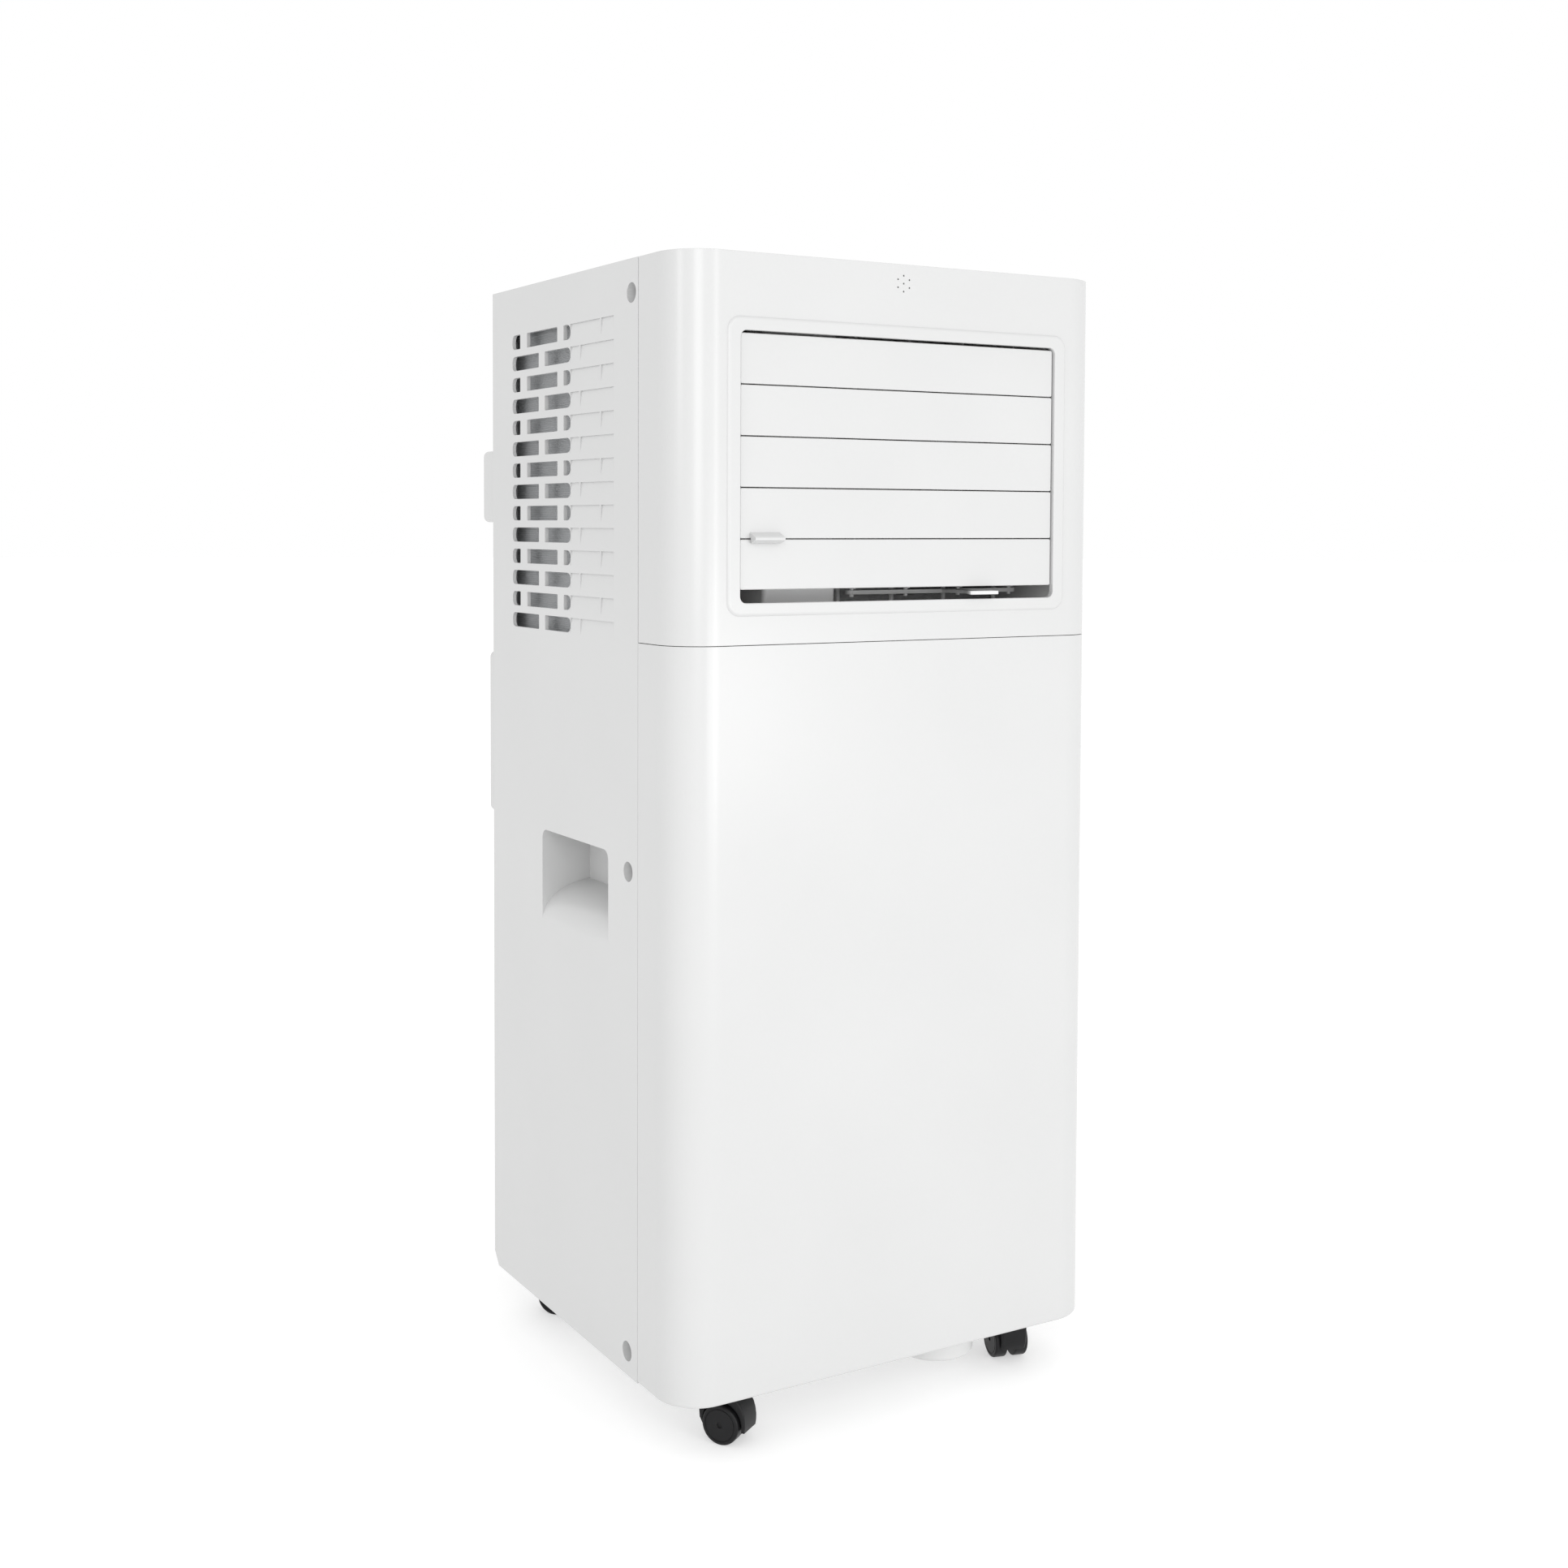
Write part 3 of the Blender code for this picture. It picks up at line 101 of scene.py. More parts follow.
@dataclass(frozen=True)
class Finish:
    """One finish: its colour range, its gloss and the pattern that varies them.

    Args:
        name: Material name, usually also the record's slot.
        dark: Darker end of the colour range.
        light: Lighter end of the colour range.
        rough: Lowest and highest roughness.
        grain: Pattern of the surface.
        scale: Pattern cells per metre.
        relief: Height of the pattern in metres.
        metal: Metallic share.
        coat: Clear coat share.
        shine: Level of plain reflection.
        slot: Slot name, where it differs from the name; not used.
    """

    name: str
    dark: tuple[float, float, float]
    light: tuple[float, float, float]
    rough: tuple[float, float]
    grain: Grain = Grain.MOULDED
    scale: float = 900.0
    relief: float = 0.00002
    metal: float = 0.0
    coat: float = 0.0
    shine: float = 0.5
    slot: str = ""

    def material(self) -> bpy.types.Material:
        """Returns this finish's node material, made on first use."""
        made = bpy.data.materials.get(f"{self.name}_finish")
        if made is None:
            made = bpy.data.materials.new(f"{self.name}_finish")
            made.use_nodes = True
            self._wire(made.node_tree)
            made.diffuse_color = (*self.light, 1.0)
        return made

    def _wire(self, tree: bpy.types.NodeTree) -> None:
        """Joins the pattern to colour, roughness and relief.

        Args:
            tree: Node tree that holds a fresh Principled shader.
        """
        shader = tree.nodes["Principled BSDF"]
        plug(tree, shader, {"Metallic": self.metal, "Coat Weight": self.coat, "Coat Roughness": 0.12,
                            "Specular IOR Level": self.shine})
        place = tree.nodes.new("ShaderNodeTexCoord").outputs["Object"]
        fine = self._pattern(tree, place)
        broad = put(tree, "TexNoise", {"Scale": 9.0, "Detail": 3.0, "Vector": place}).outputs["Fac"]
        share = 0.35 if self.grain is Grain.MOULDED else 0.8
        blend = put(tree, "Math", {0: fine, 1: share, 2: broad}, operation="MULTIPLY_ADD")
        ramp = put(tree, "ValToRGB", {"Fac": blend.outputs[0]})
        for element, at, colour in zip(ramp.color_ramp.elements, (0.35, 0.95), (self.dark, self.light)):
            element.position = at
            element.color = (*colour, 1.0)
        gloss = put(tree, "MapRange", {"To Min": self.rough[0], "To Max": self.rough[1], "Value": broad})
        bump = put(tree, "Bump", {"Strength": 0.6, "Distance": self.relief, "Height": fine})
        plug(tree, shader, {"Base Color": ramp.outputs["Color"], "Roughness": gloss.outputs["Result"],
                            "Normal": bump.outputs["Normal"]})

    def _pattern(self, tree: bpy.types.NodeTree, place: bpy.types.NodeSocket) -> bpy.types.NodeSocket:
        """Adds the fine pattern.

        Args:
            tree: Node tree to add to.
            place: Object coordinates.

        Returns:
            The pattern's 0 to 1 output.
        """
        laid = {"Scale": self.scale, "Vector": place}
        if self.grain in (Grain.MOULDED, Grain.TARNISHED, Grain.FOAMED):
            detail = 2.0 if self.grain is Grain.MOULDED else 6.0
            return put(tree, "TexNoise", {**laid, "Detail": detail}).outputs["Fac"]
        if self.grain is Grain.SPANGLED:
            return put(tree, "TexVoronoi", laid).outputs["Distance"]
        if self.grain is Grain.TRACKED:
            return put(tree, "TexBrick", laid).outputs["Fac"]
        if self.grain is Grain.FINNED:
            return put(tree, "TexWave", laid, bands_direction="X").outputs["Fac"]
        threads = [put(tree, "TexWave", laid, bands_direction=axis).outputs["Fac"] for axis in "YZ"]
        return put(tree, "Math", dict(enumerate(threads)), operation="MAXIMUM").outputs[0]


WHITE_GLOSS = Finish("white_gloss", (0.555, 0.557, 0.556), (0.575, 0.577, 0.576), (0.20, 0.27),
                     relief=0.000012)
WHITE_SATIN = Finish("white_satin", (0.60, 0.602, 0.60), (0.64, 0.642, 0.64), (0.42, 0.55), scale=1400)
# Brighter copy of white satin (same slot): painted light that lifts the shaded link bar, vanes and duct
# behind the louvre.
AIR_WAY_PAINTED_LIGHT = Finish("air_way_painted_light", (0.80, 0.80, 0.80), (0.84, 0.84, 0.84), (0.35, 0.5), scale=1400,
                       slot="white_satin")
BLACK_PLASTIC = Finish("black_plastic", (0.004, 0.004, 0.0045), (0.012, 0.012, 0.013), (0.30, 0.48),
                       scale=1500, relief=0.00003, shine=0.22)
DARK_LENS = Finish("dark_lens", (0.010, 0.011, 0.013), (0.020, 0.022, 0.026), (0.05, 0.10), coat=0.6,
                   relief=0.000004)
GREY_MESH = Finish("grey_mesh", (0.10, 0.10, 0.105), (0.46, 0.47, 0.48), (0.6, 0.8), Grain.WOVEN, 330,
                   0.0003)
ALUMINIUM_FIN = Finish("aluminium_fin", (0.22, 0.225, 0.23), (0.80, 0.81, 0.82), (0.3, 0.45),
                       Grain.FINNED, 180, 0.0008, metal=0.9)
COPPER = Finish("copper", (0.45, 0.20, 0.11), (0.80, 0.44, 0.28), (0.25, 0.42), Grain.TARNISHED, 60,
                0.00002, metal=1.0)
BLACK_STEEL = Finish("black_steel", (0.018, 0.018, 0.02), (0.045, 0.045, 0.05), (0.35, 0.5),
                     scale=500, relief=0.00005, metal=0.2)
ZINC_STEEL = Finish("zinc_steel", (0.42, 0.43, 0.44), (0.72, 0.73, 0.74), (0.28, 0.42), Grain.SPANGLED,
                    120, 0.00002, metal=1.0)
BOARD_GREEN = Finish("board_green", (0.015, 0.10, 0.045), (0.05, 0.24, 0.11), (0.35, 0.5),
                     Grain.TRACKED, 160, 0.00003)
FOAM_GREY = Finish("foam_grey", (0.36, 0.365, 0.37), (0.52, 0.525, 0.53), (0.8, 0.95), Grain.FOAMED,
                   420, 0.0003)
PRINT_GREY = Finish("print_grey", (0.10, 0.10, 0.105), (0.16, 0.16, 0.165), (0.4, 0.5))
FLOOR_PALE = Finish("floor_pale", (0.58, 0.58, 0.58), (0.62, 0.62, 0.62), (0.8, 0.95), scale=200)


# ---- bench: operators used as by hand ----------------------------------------------------------
class Part(Enum):
    """What a selection is made of, as Blender's select mode."""

    EDGES = (False, True, False)
    FACES = (False, False, True)


def take(piece: bpy.types.Object) -> None:
    """Leaves one piece alone selected and active, in object mode."""
    if bpy.context.object and bpy.context.object.mode != "OBJECT":
        bpy.ops.object.mode_set(mode="OBJECT")
    bpy.ops.object.select_all(action="DESELECT")
    piece.select_set(True)
    bpy.context.view_layer.objects.active = piece


def settle(name: str) -> bpy.types.Object:
    """Names the newest primitive and puts its place into its mesh."""
    piece = bpy.context.object
    piece.name = piece.data.name = name
    take(piece)
    bpy.ops.object.transform_apply(location=True, rotation=True, scale=True)
    return piece


def block(name: str, low: Point, high: Point) -> bpy.types.Object:
    """Adds an upright block between two corners."""
    middle = [(a + b) / 2 for a, b in zip(low, high)]
    size = [b - a for a, b in zip(low, high)]
    bpy.ops.mesh.primitive_cube_add(size=1, location=middle, scale=size)
    return settle(name)


def drum(name: str, axis: str, centre: Point, radius: float, low: float, high: float,
         sides: int = 32, far_radius: float | None = None) -> bpy.types.Object:
    """Adds a round bar or cone along an axis.

    Args:
        name: Name of the piece.
        axis: X, Y or Z.
        centre: The two coordinates across the axis, in X, Y, Z order.
        radius: Radius at the low end.
        low: Low end.
        high: High end.
        sides: Facets round it.
        far_radius: Radius at the high end, where it differs.

    Returns:
        The piece.
    """
    index = "XYZ".index(axis)
    middle = list(centre)
    middle.insert(index, (low + high) / 2)
    turn = {"X": (0, math.pi / 2, 0), "Y": (-math.pi / 2, 0, 0), "Z": (0, 0, 0)}[axis]
    bpy.ops.mesh.primitive_cone_add(vertices=sides, radius1=radius, depth=high - low,
                                    radius2=radius if far_radius is None else far_radius,
                                    location=middle, rotation=turn)
    return settle(name)


def sweep(name: str, outline: Sequence[Point], axis: str, low: float, high: float) -> bpy.types.Object:
    """Lays a filled ring along an outline across an axis, then extrudes it along the axis.

    Args:
        name: Name of the piece.
        outline: Points as the two coordinates across the axis, in X, Y, Z order.
        axis: X, Y or Z.
        low: Start of the sweep.
        high: End of the sweep.

    Returns:
        The closed piece.
    """
    index = "XYZ".index(axis)
    bpy.ops.mesh.primitive_circle_add(vertices=len(outline), radius=0.01, fill_type="NGON")
    piece = settle(name)
    for vertex, spot in zip(piece.data.vertices, outline):
        place = list(spot)
        place.insert(index, low)
        vertex.co = place
    take(piece)
    bpy.ops.object.mode_set(mode="EDIT")
    bpy.ops.mesh.select_all(action="SELECT")
    step = [0.0, 0.0, 0.0]
    step[index] = high - low
    bpy.ops.mesh.extrude_region_move(TRANSFORM_OT_translate={"value": step})
    bpy.ops.object.mode_set(mode="OBJECT")
    return outward(piece)


def outward(piece: bpy.types.Object) -> bpy.types.Object:
    """Turns a closed piece's faces outwards."""
    take(piece)
    bpy.ops.object.mode_set(mode="EDIT")
    bpy.ops.mesh.select_all(action="SELECT")
    bpy.ops.mesh.normals_make_consistent(inside=False)
    bpy.ops.object.mode_set(mode="OBJECT")
    return piece


def pick(piece: bpy.types.Object, part: Part, test: EdgeTest | FaceTest) -> None:
    """Selects the edges or faces that pass a test and leaves the piece in edit mode.

    Args:
        piece: Mesh object.
        part: Edges, tested by their two ends, or faces, tested by centre and normal.
        test: The test.
    """
    take(piece)
    bpy.ops.object.mode_set(mode="EDIT")
    bpy.context.tool_settings.mesh_select_mode = part.value
    bpy.ops.mesh.select_all(action="DESELECT")
    bpy.ops.object.mode_set(mode="OBJECT")
    mesh = piece.data
    if part is Part.EDGES:
        for edge in mesh.edges:
            edge.select = test(*(mesh.vertices[i].co for i in edge.vertices))
    else:
        for face in mesh.polygons:
            face.select = test(face.center, face.normal)
    bpy.ops.object.mode_set(mode="EDIT")


def line(axis: str, **at: float) -> EdgeTest:
    """A test for straight edges along an axis, with other coordinates as given.

    Args:
        axis: x, y or z.
        **at: Wanted coordinates by axis name.

    Returns:
        The edge test.
    """
    index = "xyz".index(axis)

    def test(a: Vector, b: Vector) -> bool:
        span = b - a
        if span.length < NEAR or abs(span[index]) < STRAIGHT * span.length:
            return False
        return all(abs(a["xyz".index(key)] - value) <= NEAR for key, value in at.items())

    return test


def level(axis: str, at: float) -> EdgeTest:
    """A test for edges that lie in a plane across an axis."""
    index = "xyz".index(axis)
    return lambda a, b: abs(a[index] - at) < NEAR and abs(b[index] - at) < NEAR


def round_off(piece: bpy.types.Object, test: EdgeTest, radius: float, segments: int = 4) -> None:
    """Rounds the edges that pass a test."""
    pick(piece, Part.EDGES, test)
    bpy.ops.mesh.bevel(offset=radius, offset_type="OFFSET", segments=segments, profile=0.5,
                       affect="EDGES")
    bpy.ops.object.mode_set(mode="OBJECT")


def drop_faces(piece: bpy.types.Object, test: FaceTest) -> None:
    """Deletes the faces that pass a test."""
    pick(piece, Part.FACES, test)
    bpy.ops.mesh.delete(type="FACE")
    bpy.ops.object.mode_set(mode="OBJECT")


def modify(piece: bpy.types.Object, kind: str, **values: object) -> None:
    """Adds a modifier with these values and applies it."""
    take(piece)
    bpy.ops.object.modifier_add(type=kind)
    modifier = piece.modifiers[-1]
    for key, value in values.items():
        setattr(modifier, key, value)
    bpy.ops.object.modifier_apply(modifier=modifier.name)


def combine(piece: bpy.types.Object, operation: str, others: Sequence[bpy.types.Object]) -> None:
    """Applies a Boolean with each other shape in turn and removes the shape."""
    for other in others:
        modify(piece, "BOOLEAN", operation=operation, solver="EXACT", object=other)
        bpy.data.objects.remove(other, do_unlink=True)


def carve(piece: bpy.types.Object, *others: bpy.types.Object) -> None:
    """Cuts shapes out of a piece."""
    combine(piece, "DIFFERENCE", others)


def weld(piece: bpy.types.Object, *others: bpy.types.Object) -> None:
    """Joins shapes to a piece as one solid."""
    combine(piece, "UNION", others)


def gather(name: str, pieces: Sequence[bpy.types.Object]) -> bpy.types.Object:
    """Makes one object of several without joining their solids."""
    take(pieces[0])
    for piece in pieces:
        piece.select_set(True)
    if len(pieces) > 1:
        bpy.ops.object.join()
    pieces[0].name = pieces[0].data.name = name
    return pieces[0]


def copied(piece: bpy.types.Object, name: str, turn: Matrix) -> bpy.types.Object:
    """Duplicates a piece with its own mesh and puts the move into that mesh.

    Args:
        piece: Piece to copy.
        name: Name of the copy.
        turn: Move, turn or mirror of the copy.

    Returns:
        The copy, at the origin.
    """
    take(piece)
    bpy.ops.object.duplicate(linked=False)
    made = bpy.context.object
    made.name = made.data.name = name
    made.data.transform(turn)
    if turn.determinant() < 0:
        made.data.flip_normals()
    return made


def row(piece: bpy.types.Object, count: int, step: Point) -> bpy.types.Object:
    """Repeats a shape along a step, as one object."""
    modify(piece, "ARRAY", count=count, use_relative_offset=False, use_constant_offset=True,
           constant_offset_displace=step)
    return piece


def plate(name: str, low: Point, high: Point, axis: str, corner: float,
          segments: int = 6) -> bpy.types.Object:
    """Adds a block whose four edges along an axis are rounded."""
    piece = block(name, low, high)
    round_off(piece, line(axis.lower()), corner, segments)
    return piece


def through(name: str, node: str, axis: str, spots: Sequence[Point], radius: float,
            sides: int = 20) -> bpy.types.Object:
    """Bars that run right through a CAD node's box, as one cutter.

    Args:
        name: Name of the cutter.
        node: The CAD node.
        axis: X, Y or Z.
        spots: Centres, as for a drum.
        radius: Radius of each bar.
        sides: Facets round each.

    Returns:
        The cutter.
    """
    low, high = (corner["XYZ".index(axis)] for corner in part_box(node))
    return gather(name, [drum(name, axis, spot, radius, low - PAST, high + PAST, sides) for spot in spots])


def soften(piece: bpy.types.Object, width: float, segments: int = 2, angle: float = 35) -> None:
    """Rounds every sharp edge of a finished shape by a little."""
    modify(piece, "BEVEL", width=width, segments=segments, limit_method="ANGLE",
           angle_limit=math.radians(angle), use_clamp_overlap=True, miter_outer="MITER_ARC")


def dress(piece: bpy.types.Object, look: Finish, body: str, *nodes: str, smooth: float = 32) -> None:
    """Shades, paints and hangs a piece.

    Args:
        piece: The finished piece.
        look: Its finish.
        body: Body that it rides on.
        *nodes: CAD nodes that it stands for.
        smooth: Angle under which faces blend, in degrees.
    """
    take(piece)
    bpy.ops.object.shade_smooth_by_angle(angle=math.radians(smooth))
    modify(piece, "WEIGHTED_NORMAL", keep_sharp=True, weight=60)
    piece.data.materials.clear()
    piece.data.materials.append(look.material())
    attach(piece, body)
    if look is not PRINT_GREY:
        look.slot or look.name
    if nodes:
        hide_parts(*nodes)
    log.info("%s: %d faces, on %s", piece.name, len(piece.data.polygons), body)


# ---- shared places -----------------------------------------------------------------------------
LOW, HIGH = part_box("front_panel_lower")
FRONT = LOW.y                                   # front face of the casing
HALF = HIGH.x                                   # half the casing's width
FOOT = LOW.z                                    # underside of the casing
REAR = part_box("rear_panel")[1].y                # outside of the rear wall
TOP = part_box("front_panel_upper")[1].z          # rim of the casing
WALL = 0.0025


def behind(depth: float) -> float:
    """World Y of a place this far behind the front face."""
    return FRONT + depth


def centre_of(node: str) -> Vector:
    """Middle of a CAD node's box."""
    low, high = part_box(node)
    return (low + high) / 2


# ---- casing ------------------------------------------------------------------------------------
@dataclass
class FrontPanels:
    """Two wrap-round shells; the upper one carries the louvre's raised surround."""

    corner: float = 0.027
    steps: int = 24
    edge: float = 0.0005
    rim: float = 0.0022
    surround: tuple[float, float, float] = (0.1223, 0.4913, 0.6638)
    surround_corner: float = 0.009
    surround_edge: float = 0.0026
    proud: float = 0.0012
    mouth: tuple[float, float, float] = (0.1132, 0.4994, 0.6554)
    mouth_corner: float = 0.004
    sensor: tuple[float, float] = (-0.001, 0.6885)
    sensor_ring: float = 0.0047
    sensor_hole: float = 0.0006
    lip: float = 0.0007

    def shell(self, node: str) -> bpy.types.Object:
        """Bends one sheet round the front and returns it, for the CAD node named."""
        low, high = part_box(node)
        piece = block(f"{node}_shell", (low.x, FRONT, low.z), high)
        round_off(piece, line("z", y=FRONT), self.corner, self.steps)
        if low.z < FOOT + NEAR:
            round_off(piece, level("z", low.z), self.rim, 4)
        drop_faces(piece, lambda centre, normal: abs(normal.z) > FLAT or normal.y > FLAT)
        modify(piece, "SOLIDIFY", thickness=WALL, offset=-1.0, use_even_offset=True)
        soften(piece, self.edge)
        return piece

    def raised_surround(self) -> bpy.types.Object:
        """The surround's plate, with a soft outer edge."""
        half, bottom, top = self.surround
        ring = plate("surround", (-half, FRONT - self.proud, bottom), (half, FRONT + WALL / 2, top), "Y",
                     self.surround_corner, 10)
        round_off(ring, level("y", FRONT - self.proud), self.surround_edge, 6)
        return ring

    def sensor_holes(self) -> bpy.types.Object:
        """Rosette of small holes above the louvre, as one cutter."""
        spots = [self.sensor]
        spots += [(self.sensor[0] + self.sensor_ring * math.cos(t),
                   self.sensor[1] + self.sensor_ring * math.sin(t))
                  for t in (math.radians(30 + 60 * k) for k in range(6))]
        return gather("sensor_holes", [drum(f"sensor_{k}", "Y", spot, self.sensor_hole, FRONT - PAST,
                                            FRONT + WALL + PAST, 12) for k, spot in enumerate(spots)])

    def build(self) -> None:
        """Makes and hangs both shells."""
        dress(self.shell("front_panel_lower"), WHITE_GLOSS, "casing", "front_panel_lower")
        upper = self.shell("front_panel_upper")
        weld(upper, self.raised_surround())
        half, bottom, top = self.mouth
        mouth = plate("mouth", (-half, FRONT - PAST, bottom), (half, FRONT + WALL + PAST, top), "Y",
                      self.mouth_corner, 6)
        carve(upper, mouth)
        round_off(upper, self._on_lip, self.lip, 3)
        carve(upper, self.sensor_holes())
        dress(upper, WHITE_GLOSS, "casing", "front_panel_upper")

    def _on_lip(self, a: Vector, b: Vector) -> bool:
        """Whether an edge runs round the front of the mouth."""
        half, bottom, top = self.mouth
        front = all(abs(v.y - FRONT + self.proud) < NEAR for v in (a, b))
        return front and all(abs(v.x) < half + NEAR and bottom - NEAR < v.z < top + NEAR for v in (a, b))


@dataclass
class SidePanels:
    """Side walls with brick-pattern vents, a grip recess and three screw seats each."""

    depth_front: float = 0.0513
    rear_round: float = 0.003
    lap: float = 0.0125
    rows: int = 14
    pitch: float = 0.0141
    slot_height: float = 0.0094
    first_top: float = 0.6690
    odd: tuple[tuple[float, float], ...] = ((0.147, 0.1555), (0.165, 0.213), (0.224, 0.237))
    even: tuple[tuple[float, float], ...] = ((0.147, 0.1845), (0.194, 0.237))
    blind: tuple[float, float] = (0.0835, 0.1455)
    blind_rib_odd: float = 0.1020
    blind_rib_even: float = 0.1315
    blind_deep: float = 0.0010
    grip_y: tuple[float, float] = (0.091, 0.189)
    grip_z: tuple[float, float] = (0.2874, 0.3466)
    grip_deep: float = 0.034
    grip_hill: tuple[float, float] = (0.038, 0.0242)
    seats: tuple[tuple[float, float], ...] = ((0.0600, 0.680), (0.0640, 0.338), (0.0650, 0.0475))
    seat_radius: float = 0.006
    seat_deep: float = 0.008
    backing: float = 0.002
    grip_corner: float = 0.006
    slot_ends: tuple[float, float, float] = (0.0030, 0.0038, 0.0006)
    rib_half: float = 0.0008
    slope: tuple[float, float] = (0.010, 0.0132)
    edge: float = 0.0003

    def wall(self) -> bpy.types.Object:
        """Left wall with its rear lap."""
        low = (-HALF, behind(self.depth_front), FOOT)
        piece = block("left_side_wall", low, (-HALF + WALL, REAR, TOP))
        lap = block("lap", (-HALF, REAR - WALL, FOOT), (-HALF + self.lap, REAR, TOP))
        weld(piece, lap)
        round_off(piece, line("z", x=-HALF, y=REAR), self.rear_round, 6)
        return piece

    def cup(self, name: str, grow: float) -> bpy.types.Object:
        """The grip recess as a solid, grown by a wall's thickness or not."""
        bottom, top = self.grip_z[0] - grow, self.grip_z[1] + grow
        reach, rise = self.grip_hill
        crest = math.acos(1 - self.grip_deep / reach)
        deep = -HALF + self.grip_deep + grow
        steps = 14
        hill = [(-HALF + reach - (reach - grow) * math.cos(crest * k / steps),
                 self.grip_z[0] + (rise - grow) * math.sin(crest * k / steps)) for k in range(steps + 1)]
        section = [(-HALF - 0.004, bottom), (-HALF - 0.004, top), (deep, top)]
        section += ([(deep, hill[-1][1])] if grow else []) + hill[::-1]
        piece = sweep(name, section, "Y", behind(self.grip_y[0]) - grow, behind(self.grip_y[1]) + grow)
        if not grow:
            round_off(piece, line("x", z=top), self.grip_corner, 6)
            round_off(piece, line("y", x=deep, z=top), self.grip_corner, 5)
        return piece

    def slots(self, name: str, pattern: Sequence[tuple[float, float]], first: int) -> bpy.types.Object:
        """Open bricks of every other course, as one cutter.

        Args:
            name: Name of the cutter.
            pattern: Front and rear depth of each open brick.
            first: Number of the first course.

        Returns:
            The cutter.
        """
        top = self.first_top - first * self.pitch
        cutters = []
        for number, (front, rear) in enumerate(pattern):
            one = block(f"{name}_{number}", (-HALF - PAST, behind(front), top - self.slot_height),
                        (-HALF + WALL + PAST, behind(rear), top))
            first_round, last_round, inner_round = self.slot_ends
            last = number == len(pattern) - 1
            round_off(one, line("x", y=behind(front)), *((inner_round, 2) if number else (first_round, 6)))
            round_off(one, line("x", y=behind(rear)), *((last_round, 6) if last else (inner_round, 2)))
            cutters.append(row(one, self.rows // 2, (0, 0, -2 * self.pitch)))
        return gather(name, cutters)

    def blind_bricks(self, name: str, rib: float, first: int) -> bpy.types.Object:
        """Shallow wedges that draw the closed bricks of every other course, as one cutter."""
        top = self.first_top - first * self.pitch
        low = top - self.slot_height - 0.0012
        wedge = [(-HALF - 0.001, top), (-HALF + self.blind_deep, top), (-HALF - 0.00002, low),
                 (-HALF - 0.001, low)]
        spans = ((self.blind[0], rib - self.rib_half), (rib + self.rib_half, self.blind[1]))
        parts = [row(sweep(f"{name}_{k}", wedge, "Y", behind(a), behind(b)), self.rows // 2,
                     (0, 0, -2 * self.pitch)) for k, (a, b) in enumerate(spans)]
        return gather(name, parts)

    def dishes(self) -> bpy.types.Object:
        """Shallow dished lips at the front end of every course, as one cutter."""
        bpy.ops.mesh.primitive_uv_sphere_add(
            segments=20, ring_count=10, radius=1,
            location=(-HALF - 0.0002, behind(0.1478), self.first_top - self.slot_height / 2),
            scale=(0.0011, 0.0034, self.slot_height / 2))
        return row(settle("dishes"), self.rows, (0, 0, -self.pitch))

    def tongue(self) -> bpy.types.Object:
        """Lap that closes the seam to the front shells, just under the surface."""
        seam = behind(self.depth_front)
        return block("tongue", (-HALF + 0.0008, seam - 0.00022, FOOT + 0.001),
                     (-HALF + 0.0021, seam + 0.001, TOP - 0.001))

    def seat_bars(self, name: str, radius: float, low: float, high: float,
                  sides: int) -> bpy.types.Object:
        """Round bars at the three screw seats, as one object."""
        return gather(name, [drum(f"{name}_{k}", "X", (behind(depth), z), radius, low, high, sides)
                             for k, (depth, z) in enumerate(self.seats)])

    def build(self) -> None:
        """Makes the left panel, mirrors it and hangs both."""
        panel = self.wall()
        weld(panel, self.cup("cup", self.backing))
        weld(panel, self.seat_bars("bosses", self.seat_radius + self.backing, -HALF + WALL / 2,
                                   -HALF + self.seat_deep + self.backing, 24))
        outside = block("outside", (-HALF - 0.006, behind(0), self.grip_z[0] - 0.05),
                        (-HALF, REAR, self.grip_z[1] + 0.05))
        run, rise = self.slope
        slope = [(REAR - run, FOOT - 0.001), (REAR + PAST, FOOT - 0.001), (REAR + PAST, FOOT + rise)]
        carve(panel, outside, self.cup("recess", 0.0),
              self.seat_bars("seats", self.seat_radius, -HALF - PAST, -HALF + self.seat_deep, 40),
              self.slots("odd_slots", self.odd, 0), self.slots("even_slots", self.even, 1),
              sweep("corner_slope", slope, "X", -HALF - PAST, -HALF + self.lap + PAST))
        take(panel)
        bpy.ops.object.mode_set(mode="EDIT")
        bpy.ops.mesh.select_all(action="SELECT")
        bpy.ops.mesh.remove_doubles(threshold=NEAR)
        bpy.ops.object.mode_set(mode="OBJECT")
        soften(panel, self.edge, 2, 40)
        weld(panel, self.tongue())
        carve(panel, self.dishes(), self.blind_bricks("odd_blind", self.blind_rib_odd, 0),
              self.blind_bricks("even_blind", self.blind_rib_even, 1))
        other = copied(panel, "right_side_wall", MIRROR_X)
        dress(panel, WHITE_GLOSS, "casing", "left_side_panel")
        dress(other, WHITE_GLOSS, "casing", "right_side_panel")
        self.screws()

    def screws(self) -> None:
        """Pan-head screws with a cross recess, one at the bottom of each seat."""
        floor = -HALF + self.seat_deep
        head = drum("screw", "X", (0, 0), 0.0040, floor - 0.0022, floor, 28)
        round_off(head, level("x", floor - 0.0022), 0.0012, 4)
        for size in ((0.0006, 0.0023), (0.0023, 0.0006)):
            carve(head, block("drive", (floor - 0.0030, -size[0], -size[1]),
                              (floor - 0.0010, size[0], size[1])))
        for number, (depth, z) in enumerate(self.seats):
            for side, word in ((Matrix(), "left"), (MIRROR_X, "right")):
                screw = copied(head, f"{word}_screw_{number + 1}",
                               Matrix.Translation((0, behind(depth), z)) @ side)
                dress(screw, WHITE_SATIN, "casing")
        bpy.data.objects.remove(head, do_unlink=True)


